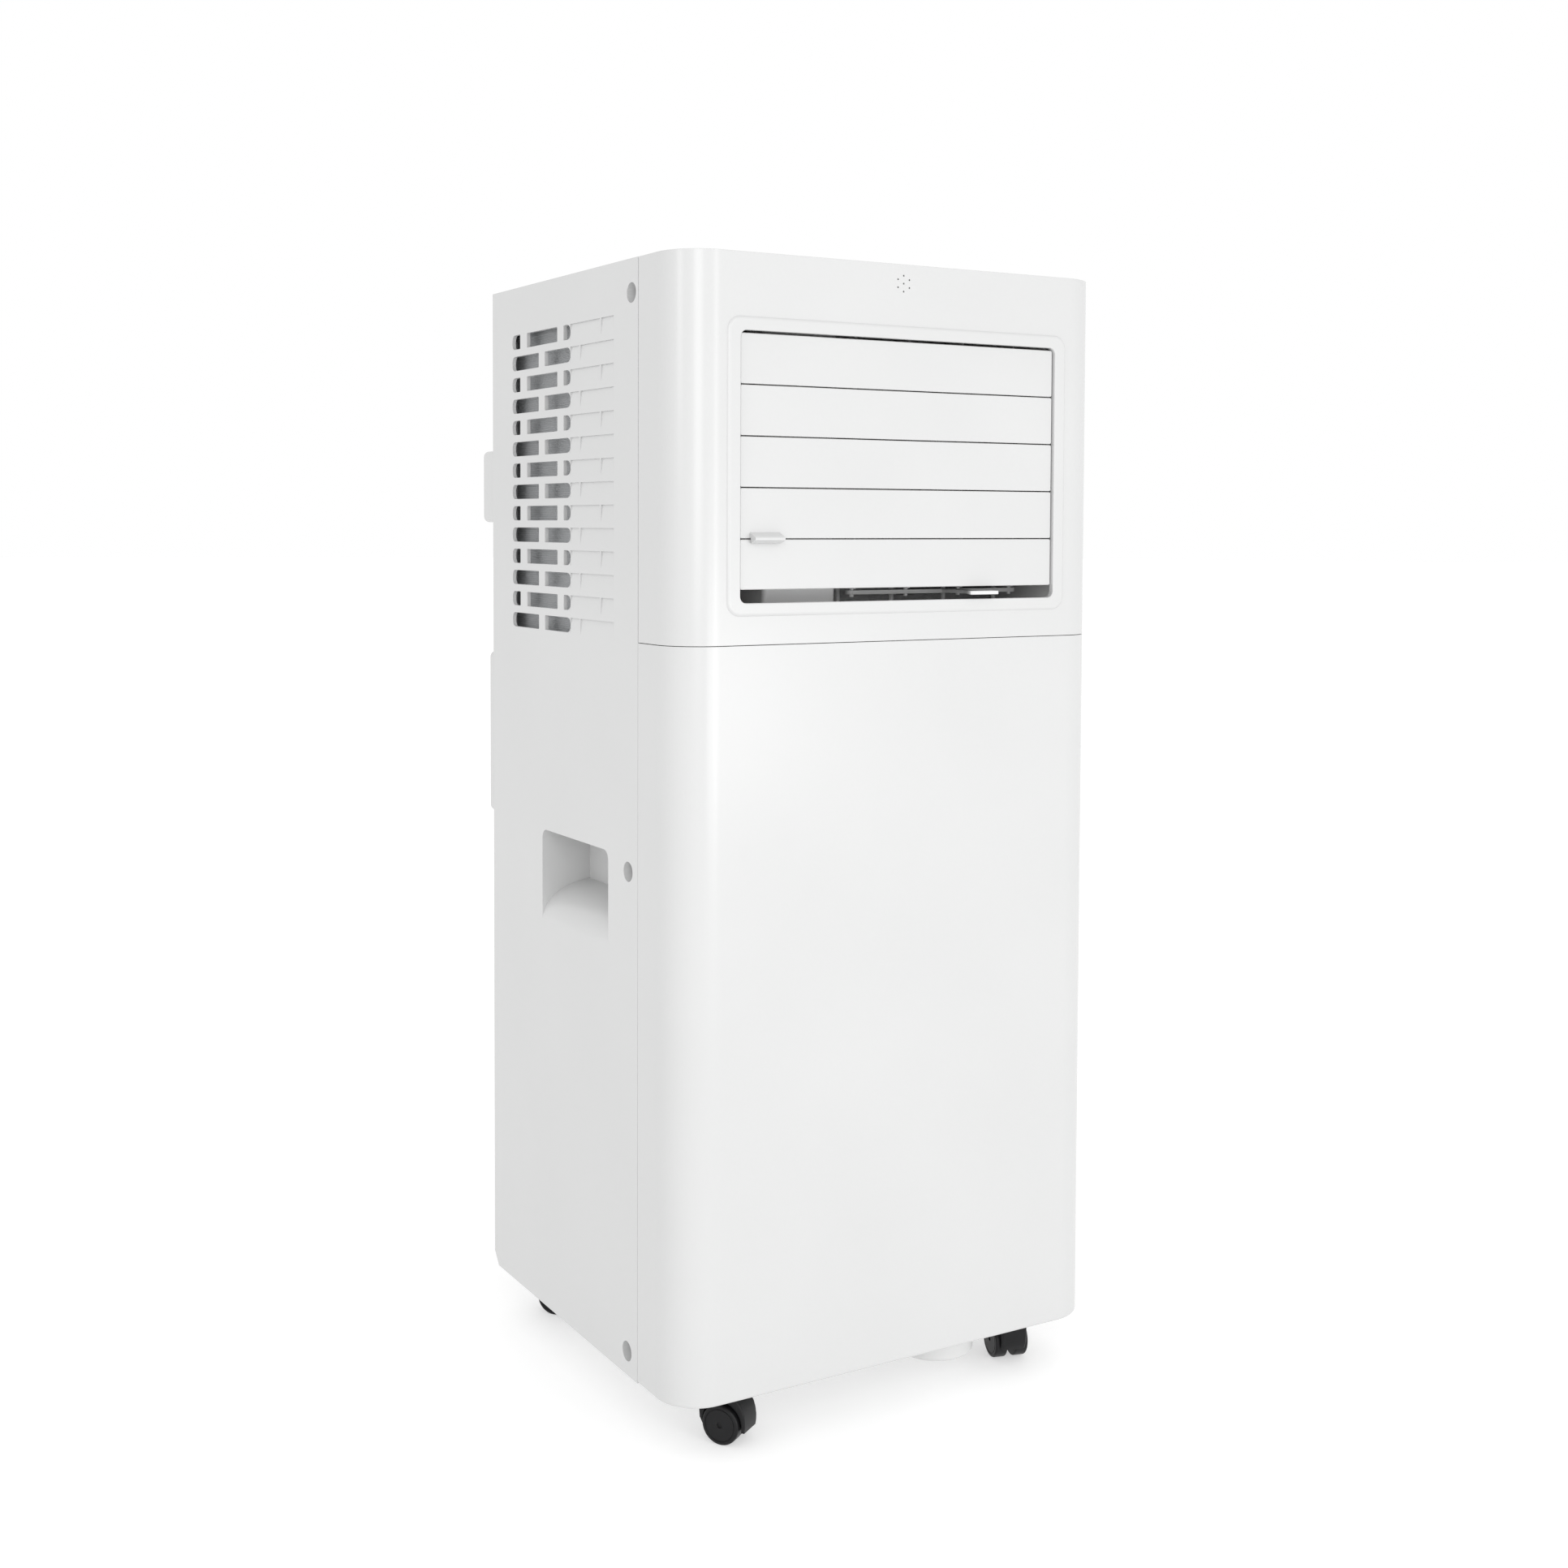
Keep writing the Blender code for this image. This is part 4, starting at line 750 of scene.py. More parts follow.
@dataclass
class RearAndLid:
    """Flat rear wall, and the lid inside the casing's rim."""

    filter_window: tuple[float, float, float] = (0.118, 0.480, 0.657)
    grille_window: tuple[float, float, float] = (0.105, 0.080, 0.308)
    outlet: tuple[float, float, float] = (0.0920, 0.0435, 0.4015)
    control_window: tuple[float, float, float, float] = (0.072, 0.022, 0.080, 0.006)
    fitting_holes: dict[str, float] = field(default_factory=lambda: {"cord_gland": 0.0065,
                                                                     "drain_plug": 0.0085})
    window_corner: float = 0.004
    lid_corner: float = 0.0242
    lid_wall: float = 0.002
    lid_thick: float = 0.0028

    def rear(self) -> None:
        """Makes and hangs the rear wall."""
        low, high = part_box("rear_panel")
        panel = block("rear_wall", low, high)
        ends = (low.y - PAST, high.y + PAST)
        windows = [plate("window", (-half, ends[0], bottom), (half, ends[1], top), "Y", self.window_corner)
                   for half, bottom, top in (self.filter_window, self.grille_window)]
        half, tall, middle = self.outlet
        windows.append(plate("outlet_way", (-half, ends[0], middle - tall), (half, ends[1], middle + tall),
                             "Y", tall - 0.0004, 16))
        for node, radius in self.fitting_holes.items():
            windows.append(through(f"{node}_way", "rear_panel", "Y", [centre_of(node).xz], radius, 32))
        carve(panel, *windows)
        soften(panel, 0.0004)
        dress(panel, WHITE_GLOSS, "casing", "rear_panel")

    def lid(self) -> None:
        """Makes and hangs the lid with its skirt and the window for the controls."""
        low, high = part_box("top_cover")
        piece = block("lid", low, high)
        round_off(piece, line("z", y=low.y), self.lid_corner, 20)
        wall = self.lid_wall
        inner = block("lid_hollow", (low.x + wall, low.y + wall, low.z - PAST),
                      (high.x - wall, high.y - wall, high.z - self.lid_thick))
        round_off(inner, line("z", y=low.y + wall), self.lid_corner - wall, 20)
        half, front, rear, corner = self.control_window
        window = plate("control_window", (-half, behind(front), low.z - PAST),
                       (half, behind(rear), high.z + PAST), "Z", corner, 8)
        carve(piece, inner, window)
        soften(piece, 0.0005)
        dress(piece, WHITE_GLOSS, "casing", "top_cover")

    def build(self) -> None:
        """Makes both."""
        self.rear()
        self.lid()


class Icon(Enum):
    """Plain marks on the buttons."""

    POWER = "power_button"
    MODE = "mode_button"
    FAN = "fan_button"
    DOWN = "temp_down_button"
    UP = "temp_up_button"


@dataclass
class Controls:
    """Control panel, display lens and five sprung buttons with plain marks."""

    lens: tuple[float, float, float, float] = (0.026, 0.030, 0.048, 0.003)
    mark: float = 0.0024
    stroke: float = 0.0004
    thick: float = 0.0002
    button: float = 0.0058
    skirt: float = 0.0072
    hole: float = 0.0062
    dish: float = 0.0003

    def panel(self) -> None:
        """Makes the panel and the lens."""
        low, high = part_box("control_panel")
        piece = plate("control_plate", low, high, "Z", 0.0057, 8)
        holes = through("button_holes", "control_panel", "Z",
                        [centre_of(icon.value).xy for icon in Icon], self.hole, 48)
        half, front, rear, corner = self.lens
        window = plate("lens_window", (-half, behind(front), low.z - PAST),
                       (half, behind(rear), high.z + PAST), "Z", corner, 8)
        carve(piece, gather("panel_holes", [holes, window]))
        soften(piece, 0.0003)
        dress(piece, WHITE_SATIN, "casing", "control_panel")
        low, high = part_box("display_lens")
        glass = plate("lens", low, high, "Z", 0.0027, 8)
        soften(glass, 0.0003)
        dress(glass, DARK_LENS, "casing", "display_lens")

    def cap(self, icon: Icon) -> None:
        """Makes one button with its skirt, and the mark on it."""
        low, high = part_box(icon.value)
        centre = centre_of(icon.value).xy
        base = high.z - self.dish
        cap = drum(f"{icon.value}_cap", "Z", centre, self.button, high.z - 0.0068, high.z, 48)
        round_off(cap, level("z", high.z), 0.0009, 4)
        weld(cap, drum("skirt", "Z", centre, self.skirt, low.z, low.z + 0.004, 48))
        carve(cap, drum("dish", "Z", centre, 0.0034, base, high.z + PAST, 40, 0.0048))
        soften(cap, 0.00015)
        dress(cap, WHITE_SATIN, icon.value, icon.value)
        mark = self.drawn(icon, centre, base)
        soften(mark, 0.00005, 1)
        dress(mark, PRINT_GREY, icon.value)

    def drawn(self, icon: Icon, centre: Point, base: float) -> bpy.types.Object:
        """Lays out one plain mark.

        Args:
            icon: Which mark.
            centre: Middle of the button.
            base: Height of the face under it.

        Returns:
            The mark.
        """
        x, y = centre
        size, low, top = self.mark, base - 0.0001, base + self.thick
        if icon in (Icon.DOWN, Icon.UP):
            wide, thin = size, self.stroke
            shape = block("bar", (x - wide, y - thin, low), (x + wide, y + thin, top))
            if icon is Icon.UP:
                weld(shape, block("bar", (x - thin, y - wide, low), (x + thin, y + wide, top)))
        elif icon is Icon.MODE:
            shape = gather("dots", [drum(f"dot_{k}", "Z", (x + (k - 1) * 0.0018, y), 0.0006, low, top, 20)
                                    for k in range(3)])
        elif icon is Icon.FAN:
            turns = [math.radians(90 + 120 * k) for k in range(3)]
            shape = gather("blades", [drum(f"blade_{k}", "Z",
                                           (x + 0.0013 * math.cos(t), y + 0.0013 * math.sin(t)),
                                           0.0009, low, top, 20) for k, t in enumerate(turns)])
        else:
            shape = drum("ring", "Z", centre, size, low, top, 40)
            carve(shape, drum("hollow", "Z", centre, size - 0.0006, base - PAST, top + PAST, 40),
                  block("gap", (x - 0.0008, y, base - PAST), (x + 0.0008, y + 2 * size, top + PAST)))
            stroke = block("stroke", (x - 0.0003, y + 0.0004, low), (x + 0.0003, y + size, top))
            shape = gather("power", [shape, stroke])
        shape.name = shape.data.name = f"{icon.value}_mark"
        return shape

    def build(self) -> None:
        """Makes the panel, the lens and all buttons."""
        self.panel()
        for icon in Icon:
            self.cap(icon)


# ---- louvre ------------------------------------------------------------------------------------
@dataclass
class Louvre:
    """Five slats with pivot and crank pins, their link bar, four vanes, their bar and the duct."""

    count: int = 5
    pitch: float = 0.0295
    height: float = 0.0289
    thick: float = 0.002
    half: float = 0.1124
    face: float = 0.0008
    top: float = 0.6540
    corner: float = 0.0011
    pivot: float = 0.0120
    crank: float = 0.010
    crank_angle: float = math.radians(37.5)
    tab: tuple[float, float] = (-0.106, -0.086)
    pin_end: float = 0.1205
    pin: float = 0.0015
    crank_pin: float = 0.0013
    link_hole: float = 0.0018
    duct_hole: float = 0.0021
    vane_pivot: float = 0.050
    vane_crank: float = 0.034
    vane_span: tuple[float, float] = (0.030, 0.062)
    core: tuple[float, float] = (-0.080, -0.029)

    def middle(self, number: int) -> float:
        """Height of a slat's middle."""
        return self.top - self.height / 2 - number * self.pitch

    def crank_spot(self, number: int) -> tuple[float, float]:
        """Y and Z of a slat's crank pin."""
        return (behind(self.pivot) + self.crank * math.cos(self.crank_angle),
                self.middle(number) + self.crank * math.sin(self.crank_angle))

    def slat(self, number: int) -> None:
        """Makes one slat.

        Args:
            number: Counted from the top, from 0.
        """
        name = f"louvre_slat_{number + 1}"
        z, y = self.middle(number), behind(self.pivot)
        front, rear = behind(self.face), behind(self.face + self.thick)
        low, high = z - self.height / 2, z + self.height / 2
        piece = block(f"slat_{number + 1}", (-self.half, front, low), (self.half, rear, high))
        round_off(piece, line("y"), self.corner, 5)
        round_off(piece, level("y", front), 0.0006, 3)
        y_pin, z_pin = self.crank_spot(number)
        root = rear - 0.0008
        plain = [(root, z - 0.007), (y, z - 0.0035), (y + 0.003, z - 0.0022), (y + 0.004, z),
                 (y + 0.002, z + 0.003), (root, z + 0.007)]
        long = [(root, z - 0.007), (y, z - 0.0035), (y_pin + 0.0025, z_pin - 0.001),
                (y_pin + 0.0020, z_pin + 0.0018), (y_pin, z_pin + 0.0025), (root, z + 0.010)]
        inner, outer = self.half - 0.0025, self.half - 0.0005
        weld(piece, sweep("crank_ear", long, "X", -outer, -inner), sweep("ear", plain, "X", inner, outer),
             drum("pin", "X", (y, z), self.pin, -self.pin_end, -inner - 0.0005, 20),
             drum("pin", "X", (y, z), self.pin, inner + 0.0005, self.pin_end, 20),
             drum("crank_pin", "X", (y_pin, z_pin), self.crank_pin, -self.half - 0.0045,
                  -inner - 0.0005, 20))
        if number == self.count - 2:
            weld(piece, self.finger_tab(front, low))
        dress(piece, WHITE_GLOSS, name, name)

    def finger_tab(self, front: float, low: float) -> bpy.types.Object:
        """Small rounded tab that turns the slats by hand."""
        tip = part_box("louvre_slat_4")[0].y
        section = [(front + 0.0010, low + 0.0040), (front - 0.0012, low + 0.0030),
                   (tip + 0.0010, low + 0.0012), (tip + 0.0002, low + 0.0005), (tip, low - 0.0002),
                   (tip + 0.0002, low - 0.0009), (tip + 0.0010, low - 0.0013),
                   (front - 0.0016, low - 0.0027), (front - 0.0006, low - 0.0030),
                   (front - 0.0006, low + 0.0008), (front + 0.0010, low + 0.0008)]
        tab = sweep("tab", section, "X", *self.tab)
        round_off(tab, lambda a, b: line("z")(a, b) and max(a.y, b.y) < front - 0.0005, 0.0012, 4)
        soften(tab, 0.0005, 3, 50)
        return tab

    def link_bar(self) -> None:
        """Makes the upright bar across the slats' crank pins."""
        low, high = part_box("slat_link_bar")
        bar = plate("slat_bar", low, high, "X", 0.0026, 6)
        carve(bar, through("pin_holes", "slat_link_bar", "X",
                           [self.crank_spot(k) for k in range(self.count)], self.link_hole))
        soften(bar, 0.0002)
        # Painted light: the link bar gets the brightened white that stands in for light inside the air way.
        dress(bar, AIR_WAY_PAINTED_LIGHT, "slat_link_bar", "slat_link_bar")

    def vane(self, number: int) -> None:
        """Makes one upright vane.

        Args:
            number: Counted from the left, from 1.
        """
        name = f"vane_{number}"
        low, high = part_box(name)
        x = centre_of(name).x
        bottom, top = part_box("outlet_duct")[0].z + 0.0105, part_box("outlet_duct")[1].z - 0.003
        front, rear = (behind(depth) for depth in self.vane_span)
        blade = block(f"vane_blade_{number}", (x - 0.001, front, bottom), (x + 0.001, rear, top))
        round_off(blade, line("z", y=front), 0.0009, 4)
        round_off(blade, line("z", y=rear), 0.0008, 3)
        weld(blade, drum("pivot", "Z", (x, behind(self.vane_pivot)), self.pin, low.z, high.z, 20),
             drum("crank", "Z", (x, behind(self.vane_crank)), self.crank_pin, bottom - 0.005,
                  bottom + 0.0015, 20))
        # Painted light: the vane gets the brightened white that stands in for light inside the air way.
        dress(blade, AIR_WAY_PAINTED_LIGHT, name, name)

    def vane_bar(self) -> None:
        """Makes the bar across the vanes, with its finger tab."""
        low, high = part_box("vane_link_bar")
        y = behind(self.vane_crank)
        bar = plate("vane_strip", (low.x, y - 0.003, low.z), (high.x, y + 0.003, high.z), "Z", 0.0028, 6)
        neck, tip = behind(0.010), low.y
        outline = [(0.050, y), (0.054, neck + 0.006), (0.054, neck), (0.047, tip + 0.003),
                   (0.0464, tip + 0.001), (0.0474, tip), (0.0666, tip), (0.0676, tip + 0.001),
                   (0.0670, tip + 0.003), (0.062, neck), (0.062, neck + 0.006), (0.066, y)]
        weld(bar, sweep("vane_tab", outline, "Z", low.z + 0.0002, high.z - 0.0002))
        carve(bar, through("vane_holes", "vane_link_bar", "Z",
                           [(centre_of(f"vane_{k}").x, y) for k in range(1, 5)], self.link_hole))
        soften(bar, 0.0004)
        dress(bar, WHITE_SATIN, "vane_link_bar", "vane_link_bar")

    def duct(self) -> None:
        """Makes the duct with the closed block beside its air way and the pins' holes."""
        low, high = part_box("outlet_duct")
        duct = block("duct", low, high)
        carve(duct, plate("bore", (low.x + 0.002, low.y - PAST, low.z + 0.002),
                          (high.x - 0.002, high.y + PAST, high.z - 0.002), "Y", 0.001, 3))
        front = behind(self.vane_span[0])
        core = block("core", (self.core[0], front, low.z + 0.001), (self.core[1], high.y, high.z - 0.001))
        round_off(core, line("z", y=front), 0.003, 5)
        weld(duct, core)
        spots = [("X", (behind(self.pivot), self.middle(k))) for k in range(self.count)]
        spots += [("Z", (centre_of(f"vane_{k}").x, behind(self.vane_pivot))) for k in range(1, 5)]
        holes = []
        for axis, spot in spots:
            start, end = (corner["XYZ".index(axis)] for corner in (low, high))
            holes += [drum("hole", axis, spot, self.duct_hole, *ends, 20)
                      for ends in ((start - 0.001, start + 0.0025), (end - 0.0025, end + 0.001))]
        carve(duct, gather("duct_holes", holes))
        # Painted light: the duct gets the brightened white that stands in for light inside the air way.
        dress(duct, AIR_WAY_PAINTED_LIGHT, "casing", "outlet_duct")

    def build(self) -> None:
        """Makes every piece of the louvre."""
        for number in range(self.count):
            self.slat(number)
        self.link_bar()
        for number in range(1, 5):
            self.vane(number)
        self.vane_bar()
        self.duct()


# ---- base --------------------------------------------------------------------------------------
@dataclass
class Base:
    """Base tray with its sump, on four hooded castors."""

    sump: tuple[float, float] = (0.059, 0.046)
    sump_radius: float = 0.0275
    sump_floor: float = 0.013
    socket: tuple[float, float, float] = (0.109, 0.0305, 0.2425)
    corner: float = 0.0242
    wall: float = 0.002
    bore: float = 0.0043
    boss: float = 0.0075

    def tray(self) -> None:
        """Makes the tray."""
        low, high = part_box("base_pan")
        under, rim = FOOT + 0.0003, FOOT + 0.010
        tray = block("base_tray", (low.x, low.y, under), (high.x, high.y, rim))
        round_off(tray, line("z", y=low.y), self.corner, 16)
        wall = self.wall
        hollow = block("tray_hollow", (low.x + wall, low.y + wall, FOOT + 0.003),
                       (high.x - wall, high.y - wall, rim + PAST))
        round_off(hollow, line("z", y=low.y + wall), self.corner - wall, 16)
        carve(tray, hollow)
        places = [(side * self.socket[0], behind(depth)) for side in (-1, 1) for depth in self.socket[1:]]
        weld(tray, gather("sockets", [drum(f"socket_{k}", "Z", place, self.boss, FOOT + 0.001,
                                           FOOT + 0.018, 28) for k, place in enumerate(places)]))
        centre = (self.sump[0], behind(self.sump[1]))
        bowl = drum("bowl", "Z", centre, self.sump_radius - 0.0025, self.sump_floor, FOOT + 0.002, 72,
                    self.sump_radius)
        round_off(bowl, level("z", self.sump_floor), 0.0030, 6)
        weld(tray, bowl)
        carve(tray, drum("bowl_hollow", "Z", centre, self.sump_radius - 0.009, self.sump_floor + 0.0025,
                         FOOT + 0.005, 48, self.sump_radius - 0.0045),
              gather("bores", [drum(f"bore_{k}", "Z", place, self.bore, FOOT - 0.001,
                                    FOOT + 0.0145, 28) for k, place in enumerate(places)]))
        slope = [(behind(0.259), FOOT - 0.001), (REAR + PAST, FOOT - 0.001), (REAR + PAST, FOOT + 0.015)]
        seat = behind(0.0650)
        notches = [block("notch", (left, seat - 0.010, FOOT + 0.004), (right, seat + 0.010, FOOT + 0.015))
                   for left, right in ((-HALF, 0.012 - HALF), (HALF - 0.012, HALF))]
        carve(tray, sweep("rear_slope", slope, "X", -HALF, HALF), *notches)
        dress(tray, WHITE_SATIN, "casing", "base_pan")

    def build(self) -> None:
        """Makes the tray and all four castors."""
        self.tray()
        Castor().build()


@dataclass
class Castor:
    """One hooded twin-wheel castor, copied to the four corners."""

    trail: float = 0.007
    wheel: float = 0.012
    well_gap: float = 0.0012
    half: float = 0.0085
    fin: float = 0.0025
    wheel_span: tuple[float, float] = (0.0030, 0.0112)
    axle: float = 0.0015
    rim_line: tuple[float, float] = (0.0098, 0.0093)
    directions: dict[str, tuple[float, float]] = field(default_factory=lambda: {
        "fl": (0.545, -0.838), "fr": (0.26, 0.966), "rl": (-0.60, 0.80), "rr": (0.50, 0.866)})
    stem: tuple[float, float, float] = (0.109, 0.0305, 0.2425)

    def hood(self) -> bpy.types.Object:
        """Hood over both wheels, drawn with its trail along +X and its stem at the origin."""
        t = self.trail
        outline = [(t + 0.0145, 0.0085), (t + 0.0150, 0.0118), (t + 0.0150, 0.0150), (t + 0.0145, 0.0190),
                   (t + 0.0134, 0.0225), (t + 0.0115, 0.0258), (t + 0.0088, 0.0286), (t + 0.0057, 0.0308),
                   (t + 0.0020, 0.0322), (-0.0066, 0.0322), (-0.0080, 0.0310), (-0.0088, 0.0280),
                   (-0.0090, 0.0240), (-0.0088, 0.0180), (-0.0084, 0.0130), (-0.0060, 0.0085)]
        hood = sweep("hood", outline, "Y", -self.half, self.half)
        left, right = level("y", -self.half), level("y", self.half)
        round_off(hood, lambda a, b: left(a, b) or right(a, b), 0.0014, 4)
        wells = [drum("well", "Y", (t, self.wheel), self.wheel + self.well_gap, *ends, 48)
                 for ends in ((self.fin, 0.012), (-0.012, -self.fin))]
        carve(hood, *wells, drum("axle_way", "Y", (t, self.wheel), 0.0019, -0.012, 0.012, 20))
        weld(hood, drum("stem", "Z", (0, 0), 0.0038, 0.0300, FOOT + 0.012, 24))
        soften(hood, 0.00025)
        return hood

    def wheels(self) -> bpy.types.Object:
        """Two wheels on one axle, each with a rim line and a shallow hub dish."""
        centre = (self.trail, self.wheel)
        inner, outer = self.wheel_span
        halves = []
        for side in (-1, 1):
            wheel = drum(f"wheel_{side}", "Y", centre, self.wheel, *sorted((side * inner, side * outer)), 64)
            round_off(wheel, level("y", side * outer), 0.0014, 5)
            round_off(wheel, level("y", side * inner), 0.0006, 2)
            groove = drum("groove", "Y", centre, self.rim_line[0],
                          *sorted((side * 0.0108, side * 0.0120)), 64)
            carve(groove, drum("land", "Y", centre, self.rim_line[1], -0.02, 0.02, 64))
            carve(wheel, groove, drum("eye", "Y", centre, 0.0017,
                                      *sorted((side * 0.0104, side * 0.0120)), 24))
            halves.append(wheel)
        halves.append(drum("axle", "Y", centre, self.axle, -0.0035, 0.0035, 24))
        pair = gather("wheels", halves)
        soften(pair, 0.0001, 1, 50)
        return pair

    def build(self) -> None:
        """Places a copy of hood and wheels at each corner."""
        hood, wheels = self.hood(), self.wheels()
        for corner, (along, across) in self.directions.items():
            x = self.stem[0] * (-1 if corner[1] == "l" else 1)
            y = behind(self.stem[1] if corner[0] == "f" else self.stem[2])
            length = math.hypot(along, across)
            c, s = along / length, across / length
            turn = Matrix(((c, -s, 0, x), (s, c, 0, y), (0, 0, 1, 0), (0, 0, 0, 1)))
            for shape, word in ((hood, "hood"), (wheels, "wheels")):
                node = f"castor_{corner}_{word}"
                dress(copied(shape, f"{corner}_{word}", turn), BLACK_PLASTIC, node, node)
        for shape in (hood, wheels):
            bpy.data.objects.remove(shape, do_unlink=True)


# ---- rear fittings -----------------------------------------------------------------------------
@dataclass
class RearFittings:
    """Filter cover with its pulls, hose outlet, lower grille, cord gland and drain plug."""

    outlet: tuple[float, float, float] = (0.0920, 0.0435, 0.4015)
    collar_wall: float = 0.0025
    pull_round: float = 0.004
    pull_wall: float = 0.005
    peg: float = 0.0014
    peg_x: float = 0.1400
    peg_z: tuple[float, float] = (0.5480, 0.5920)
    slot_round: float = 0.35

    def slotted(self, name: str, node: str, body: str, corner: float,
                slots: tuple[float, float, int, float, float, float]) -> None:
        """Makes a flat grille with two columns of round-ended slots.

        Args:
            name: Name of the piece.
            node: CAD node that it stands for.
            body: Body that it rides on.
            corner: Corner radius.
            slots: First bottom, pitch, rows, height, half width and rib.
        """
        low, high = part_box(node)
        piece = plate(name, low, high, "Y", corner, 8)
        first, pitch, rows, height, half, rib = slots
        for side in (-1, 1):
            ends = sorted((side * rib, side * half))
            one = plate("slot", (ends[0], low.y - PAST, first), (ends[1], high.y + PAST, first + height),
                        "Y", height * self.slot_round, 5)
            carve(piece, row(one, rows, (0, 0, pitch)))
        soften(piece, 0.0006)
        dress(piece, WHITE_GLOSS, body, node)

    def pull(self, side: int, word: str) -> None:
        """Makes one hollow finger pull."""
        node = f"filter_pull_{word}"
        low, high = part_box(node)
        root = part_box("filter_cover")[1].y + 0.0003
        piece = block(f"pull_{word}", (low.x, root - 0.008, low.z), high)
        round_off(piece, lambda a, b: True, self.pull_round, 6)
        near, far = sorted((abs(low.x), abs(high.x)))
        inner = sorted((side * (near - 0.004), side * (far - self.pull_wall)))
        hollow = block("hollow", (inner[0], root - PAST, low.z + self.pull_wall),
                       (inner[1], high.y - self.pull_wall, high.z - self.pull_wall))
        round_off(hollow, line("x"), 0.002, 4)
        carve(piece, block("root", (low.x - PAST, root - 0.012, low.z - PAST),
                           (high.x + PAST, root, high.z + PAST)), hollow)
        soften(piece, 0.0005, 2, 50)
        weld(piece, *[drum("peg", "Y", (side * self.peg_x, z), self.peg, low.y, root + 0.0014, 16)
                      for z in self.peg_z])
        dress(piece, WHITE_GLOSS, "filter", node)

    def hose_outlet(self) -> None:
        """Makes the plinth with its oblong collar."""
        low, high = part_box("exhaust_outlet")
        half, tall, middle = self.outlet
        face = REAR + 0.012
        piece = plate("outlet_plinth", low, (high.x, face, high.z), "Y", 0.004, 6)
        round_off(piece, level("y", face), 0.0015, 4)
        wall = self.collar_wall
        weld(piece, plate("collar", (-half - wall, face - PAST, middle - tall - wall),
                          (half + wall, high.y, middle + tall + wall), "Y", tall + wall - 0.0004, 20))
        carve(piece, plate("collar_way", (-half, low.y - PAST, middle - tall),
                           (half, high.y + PAST, middle + tall), "Y", tall - 0.0004, 20))
        soften(piece, 0.0005, 2, 50)
        dress(piece, WHITE_GLOSS, "casing", "exhaust_outlet")

    def gland(self) -> None:
        """Makes the cord's gland, with its flange and tapered nose."""
        low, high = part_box("cord_gland")
        centre = centre_of("cord_gland").xz
        piece = drum("gland", "Y", centre, 0.0060, low.y, REAR + 0.001, 32)
        flange = drum("flange", "Y", centre, 0.0095, REAR + 0.0003, REAR + 0.003, 40)
        round_off(flange, level("y", REAR + 0.003), 0.0008, 3)
        nose = drum("nose", "Y", centre, 0.0070, REAR + 0.002, high.y, 40, 0.0055)
        weld(piece, flange, nose)
        carve(piece, through("cord_bore", "cord_gland", "Y", [centre], 0.0035, 32))
        soften(piece, 0.0004)
        dress(piece, BLACK_PLASTIC, "casing", "cord_gland")

    def plug(self) -> None:
        """Makes the drain plug with its grip bar."""
        low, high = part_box("drain_plug")
        x, z = centre_of("drain_plug").xz
        piece = drum("plug", "Y", (x, z), 0.0080, low.y, REAR + 0.001, 36)
        flange = drum("plug_flange", "Y", (x, z), 0.0125, REAR + 0.0003, REAR + 0.003, 48)
        round_off(flange, level("y", REAR + 0.003), 0.0008, 3)
        bar = plate("grip_bar", (x - 0.009, REAR + 0.002, z - 0.002), (x + 0.009, high.y, z + 0.002),
                    "Y", 0.0018, 4)
        weld(piece, flange, bar)
        soften(piece, 0.0004)
        dress(piece, BLACK_PLASTIC, "drain_plug", "drain_plug")

    def build(self) -> None:
        """Makes every rear fitting."""
        self.slotted("filter_door", "filter_cover", "filter", 0.004,
                     (0.486, 0.0165, 10, 0.0115, 0.108, 0.003))
        self.slotted("condenser_grille", "lower_grille", "casing", 0.006,
                     (0.084, 0.0185, 12, 0.011, 0.102, 0.003))
        self.pull(-1, "left")
        self.pull(1, "right")
        self.hose_outlet()
        self.gland()
        self.plug()


@dataclass
class SideFilters:
    """Dust screens behind the vents: a frame round a woven sheet."""

    margin: float = 0.004
    reach: float = 0.016
    sheet: float = 0.0008

    def build(self) -> None:
        """Makes the left screen, mirrors it and hangs both."""
        low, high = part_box("left_side_filter")
        rear = high.y + self.reach
        sheet = plate("left_screen", low, (high.x, rear, high.z), "X", 0.003, 4)
        hollow = plate("screen_well", (low.x - PAST, low.y + self.margin, low.z + self.margin),
                       (low.x + self.sheet, rear - self.margin, high.z - self.margin), "X", 0.002, 3)
        carve(sheet, hollow)
        soften(sheet, 0.0003)
        other = copied(sheet, "right_screen", MIRROR_X)
        dress(sheet, GREY_MESH, "casing", "left_side_filter")
        dress(other, GREY_MESH, "casing", "right_side_filter")


# ---- inner pieces kept from the frame ----------------------------------------------------------
KEPT: dict[str, Finish] = {
    "control_board": BOARD_GREEN, "filter_mesh": GREY_MESH,
    "evaporator": ALUMINIUM_FIN, "condenser": ALUMINIUM_FIN,
    "evaporator_scroll": FOAM_GREY, "condenser_scroll": FOAM_GREY, "evaporator_blower": BLACK_PLASTIC,
    "condenser_blower": BLACK_PLASTIC, "evaporator_motor": ZINC_STEEL, "condenser_motor": ZINC_STEEL,
    "drip_tray": WHITE_SATIN, "compressor": BLACK_STEEL, "accumulator": BLACK_STEEL,
    "suction_pipe": COPPER, "discharge_pipe": COPPER, "liquid_pipe": COPPER, "electrical_box": ZINC_STEEL,
}


def paint_kept() -> None:
    """Gives each kept node its finish."""
    for node, look in KEPT.items():
        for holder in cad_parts[node].material_slots:
            holder.material = look.material()
        log.info("%s keeps its shape", node)


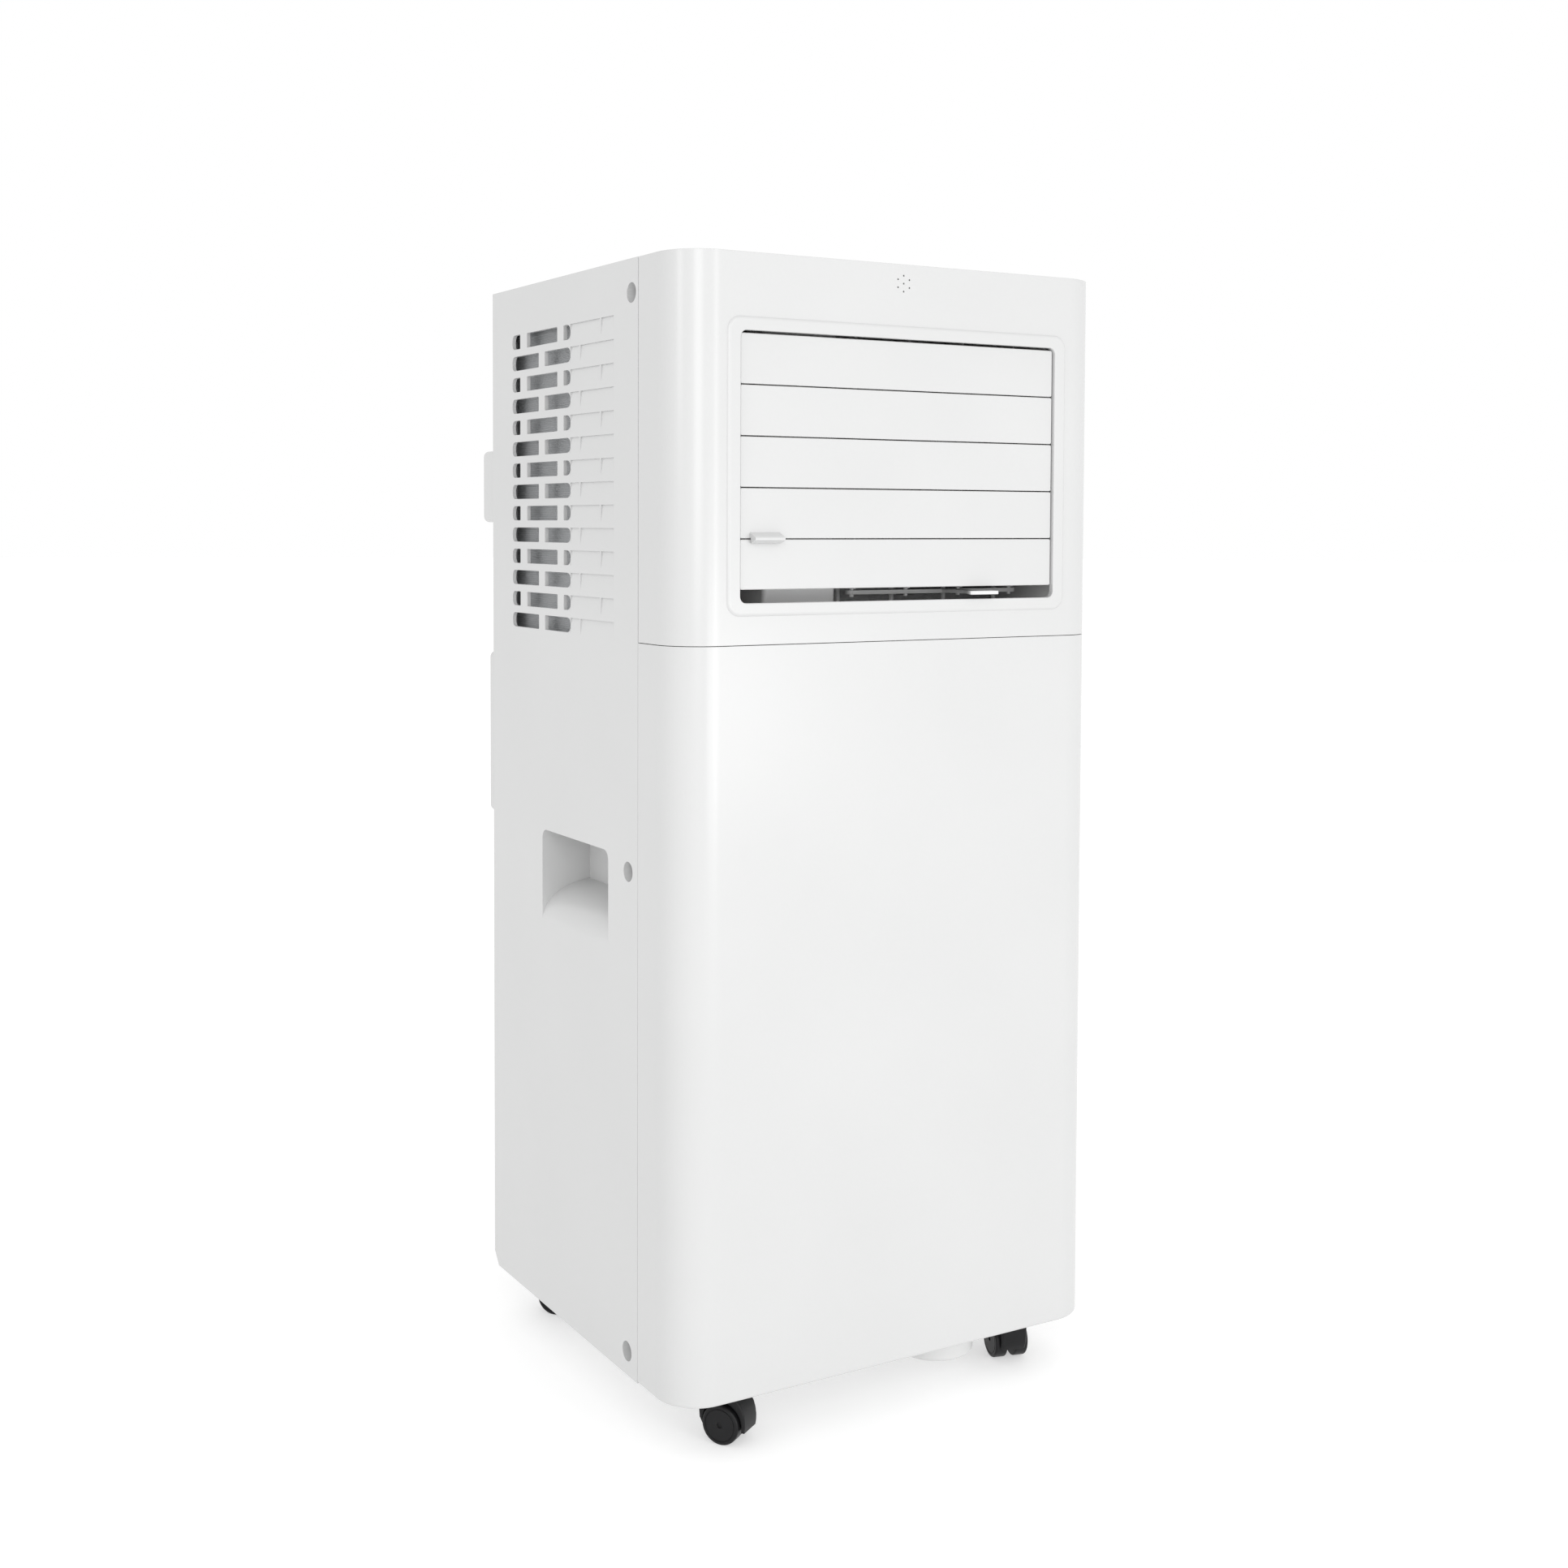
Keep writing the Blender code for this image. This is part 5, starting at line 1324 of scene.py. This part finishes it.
# ---- studio ------------------------------------------------------------------------------------
@dataclass
class Studio:
    """Pale floor, soft light and the camera."""

    eye: tuple[float, float, float] = (-0.6638, -1.1137, 0.5448)
    yaw: float = 29.859
    pitch: float = 2.512
    roll: float = 0.185
    lens: float = 44.68
    shift: tuple[float, float] = (0.02365, -0.1113)
    sky: float = 1.0
    floor_glow: float = 0.45

    def floor(self) -> None:
        """Lays the pale floor."""
        bpy.ops.mesh.primitive_circle_add(vertices=96, radius=30, fill_type="NGON", location=(0, 0, 0))
        piece = settle("floor")
        material = FLOOR_PALE.material()
        shader = material.node_tree.nodes["Principled BSDF"]
        shader.inputs["Emission Color"].default_value = (1, 1, 1, 1)
        shader.inputs["Emission Strength"].default_value = self.floor_glow
        piece.data.materials.append(material)

    def softbox(self, name: str, place: Point, aim: Point, size: tuple[float, float], watts: float) -> None:
        """Hangs one rectangular light.

        Args:
            name: Name of the light.
            place: Where it hangs.
            aim: What it points at.
            size: Width and height.
            watts: Power.
        """
        bpy.ops.object.light_add(type="AREA", location=place)
        lamp = bpy.context.object
        lamp.name = name
        lamp.data.shape = "RECTANGLE"
        lamp.data.size, lamp.data.size_y = size
        lamp.data.energy = watts
        lamp.rotation_euler = (Vector(aim) - Vector(place)).to_track_quat("-Z", "Y").to_euler()
        lamp.visible_camera = False

    def camera(self) -> None:
        """Stands the camera."""
        yaw, pitch, roll = (math.radians(v) for v in (self.yaw, self.pitch, self.roll))
        ahead = Vector((math.sin(yaw) * math.cos(pitch), math.cos(yaw) * math.cos(pitch), -math.sin(pitch)))
        right = ahead.cross(Vector((0, 0, 1))).normalized()
        up = right.cross(ahead)
        c, s = math.cos(roll), math.sin(roll)
        right, up = right * c + up * s, up * c - right * s
        bpy.ops.object.camera_add(location=self.eye)
        camera = bpy.context.object
        camera.matrix_world = Matrix.Translation(self.eye) @ Matrix((right, up, -ahead)).transposed().to_4x4()
        camera.data.sensor_width = 36
        camera.data.lens = self.lens
        camera.data.shift_x, camera.data.shift_y = self.shift
        camera.data.dof.use_dof = False
        bpy.context.scene.camera = camera

    def light(self) -> None:
        """Sets the white surroundings and the soft lights."""
        world = bpy.data.worlds.new("studio")
        world.use_nodes = True
        world.node_tree.nodes["Background"].inputs["Color"].default_value = (1, 1, 1, 1)
        world.node_tree.nodes["Background"].inputs["Strength"].default_value = self.sky
        bpy.context.scene.world = world
        bpy.context.scene.view_settings.view_transform = "Standard"
        aim = (0, 0, 0.36)
        self.softbox("key_light", (-1.3, -2.2, 1.2), aim, (0.8, 1.6), 13)
        self.softbox("strip_light", (0.50, -2.4, 1.0), aim, (0.30, 2.2), 7)
        self.softbox("low_light", (0.3, -1.8, 0.28), (0, 0, 0.52), (1.2, 0.30), 4.5)
        self.softbox("side_light", (-2.4, -0.7, 1.0), (-0.15, 0, 0.32), (0.5, 0.5), 2.5)

    def build(self) -> None:
        """Sets up the whole studio."""
        self.camera()
        self.floor()
        self.light()


def main() -> None:
    """Builds every sub-assembly in order."""
    logging.basicConfig(level=logging.INFO, format="%(message)s")
    for assembly in (Studio(), FrontPanels(), SidePanels(), RearAndLid(), Controls(), Louvre(), Base(),
                     RearFittings(), SideFilters()):
        log.info("building %s", type(assembly).__name__)
        assembly.build()
    paint_kept()


if __name__ == "__main__":
    main()
